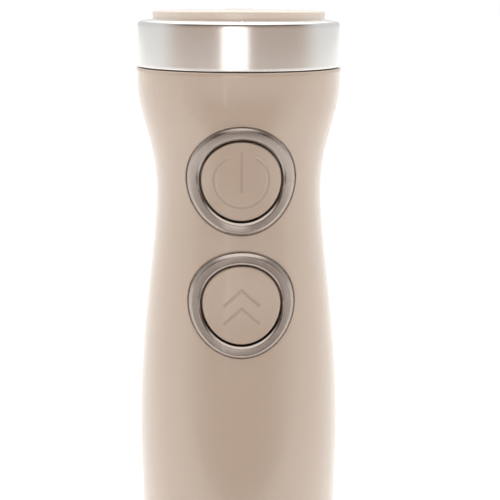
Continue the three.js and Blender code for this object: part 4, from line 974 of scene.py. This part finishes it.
# A stage plane of four corners, facing up.
def makeFloor():
    h = studio["floorSize"] / 2
    mesh = bpy.data.meshes.new("floor")
    z = -floorGap
    mesh.from_pydata([(-h, -h, z), (h, -h, z), (h, h, z), (-h, h, z)], [], [(0, 1, 2, 3)])
    floor = bpy.data.objects.new("floor", mesh)
    bpy.context.scene.collection.objects.link(floor)
    material = bpy.data.materials.new("floorPale")
    material.use_nodes = True
    shader = material.node_tree.nodes["Principled BSDF"]
    shader.inputs["Base Color"].default_value = (*studio["floorColour"], 1)
    shader.inputs["Roughness"].default_value = 0.7
    mesh.materials.append(material)


# A card that stands on the floor in front, unseen by the camera, dark in its middle and fading
# to pale by smooth steps of its distance across and up.
def makeCard():
    half, y, top = studio["cardWidth"] / 2, studio["cardPlace"], studio["cardTop"]
    mesh = bpy.data.meshes.new("card")
    mesh.from_pydata([(-half, y, 0), (half, y, 0), (half, y, top), (-half, y, top)], [], [(0, 1, 2, 3)])
    card = bpy.data.objects.new("card", mesh)
    bpy.context.scene.collection.objects.link(card)
    card.visible_camera, card.visible_shadow = False, False
    material = bpy.data.materials.new("cardDark")
    material.use_nodes = True
    tree, links = material.node_tree.nodes, material.node_tree.links
    shader = tree["Principled BSDF"]
    shader.inputs["Roughness"].default_value = 0.8
    place = addNode(tree, "ShaderNodeTexCoord")
    split = addNode(tree, "ShaderNodeSeparateXYZ")
    links.new(place.outputs["Object"], split.inputs[0])
    across = addNode(tree, "ShaderNodeMath", operation="ABSOLUTE")
    links.new(split.outputs["X"], across.inputs[0])
    most = addNode(tree, "ShaderNodeMath", operation="MAXIMUM")
    links.new(addFade(tree, links, across.outputs[0], studio["cardAcross"]), most.inputs[0])
    links.new(addFade(tree, links, split.outputs["Z"], studio["cardUp"]), most.inputs[1])
    paint = addMix(tree, links, most.outputs[0], studio["cardColour"], studio["cardPale"])
    links.new(paint, shader.inputs["Base Color"])
    mesh.materials.append(material)


# The surroundings by direction: pale behind, bright overhead, and in front a warm dim room that
# darkens higher up. The camera itself sees plain white.
def makeWorld():
    world = bpy.data.worlds.new("room")
    bpy.context.scene.world = world
    world.use_nodes = True
    tree, links = world.node_tree.nodes, world.node_tree.links
    background = tree["Background"]
    place = addNode(tree, "ShaderNodeTexCoord")
    split = addNode(tree, "ShaderNodeSeparateXYZ")
    links.new(place.outputs["Generated"], split.inputs[0])
    high = addFade(tree, links, split.outputs["Z"], studio["highFade"])
    room = addMix(tree, links, high, studio["frontColour"], studio["highColour"])
    front = addFade(tree, links, split.outputs["Y"], studio["frontFade"])
    around = addMix(tree, links, front, studio["backColour"], room)
    overhead = addFade(tree, links, split.outputs["Z"], studio["skyFade"])
    sky = addMix(tree, links, overhead, around, studio["skyColour"])
    seen = addNode(tree, "ShaderNodeLightPath")
    plain = addMix(tree, links, seen.outputs["Is Camera Ray"], sky, (1, 1, 1))
    links.new(plain, background.inputs["Color"])
    background.inputs["Strength"].default_value = studio["worldStrength"]


# A soft light of a width and height at a place, facing a target.
def makeLight(name, place, target, size, power):
    data = bpy.data.lights.new(name, "AREA")
    data.shape, data.size, data.size_y = "RECTANGLE", *size
    data.energy = power
    obj = bpy.data.objects.new(name, data)
    bpy.context.scene.collection.objects.link(obj)
    place, target = np.array(place, float), np.array(target, float)
    away = Vector(place - target)
    obj.location = place
    obj.rotation_euler = away.to_track_quat("Z", "Y").to_euler()


makeFloor()
makeCard()
makeWorld()
lights = [
    ("window", (-0.115, -1.1, 0.49), (0, 0, 0.38), (0.52, 0.2), 0.68),
    ("strip", (-0.118, -0.40, 0.28), (0, 0, 0.37), (0.010, 0.15), 0.009),
]
for name, place, target, size, power in lights:
    makeLight(name, place, target, size, power)

sun = bpy.data.objects.new("skylight", bpy.data.lights.new("skylight", "SUN"))
bpy.context.scene.collection.objects.link(sun)
sun.data.energy, sun.data.angle = studio["sunPower"], math.radians(studio["sunSpread"])
sun.rotation_euler = (-math.radians(studio["sunTilt"]), 0, 0)

camera = bpy.data.objects.new("camera", bpy.data.cameras.new("camera"))
bpy.context.scene.collection.objects.link(camera)
camera.data.sensor_width = 36
camera.data.lens = studio["lens"]
camera.data.clip_start = 0.01
camera.location = studio["eye"]
turned = (Matrix.Rotation(-math.radians(studio["yaw"]), 3, "Z")
          @ Matrix.Rotation(math.radians(90 - studio["pitch"]), 3, "X")
          @ Matrix.Rotation(math.radians(studio["roll"]), 3, "Z"))
camera.rotation_euler = turned.to_euler()
bpy.context.scene.camera = camera
bpy.context.scene.view_settings.view_transform = "Standard"
print("stage made")
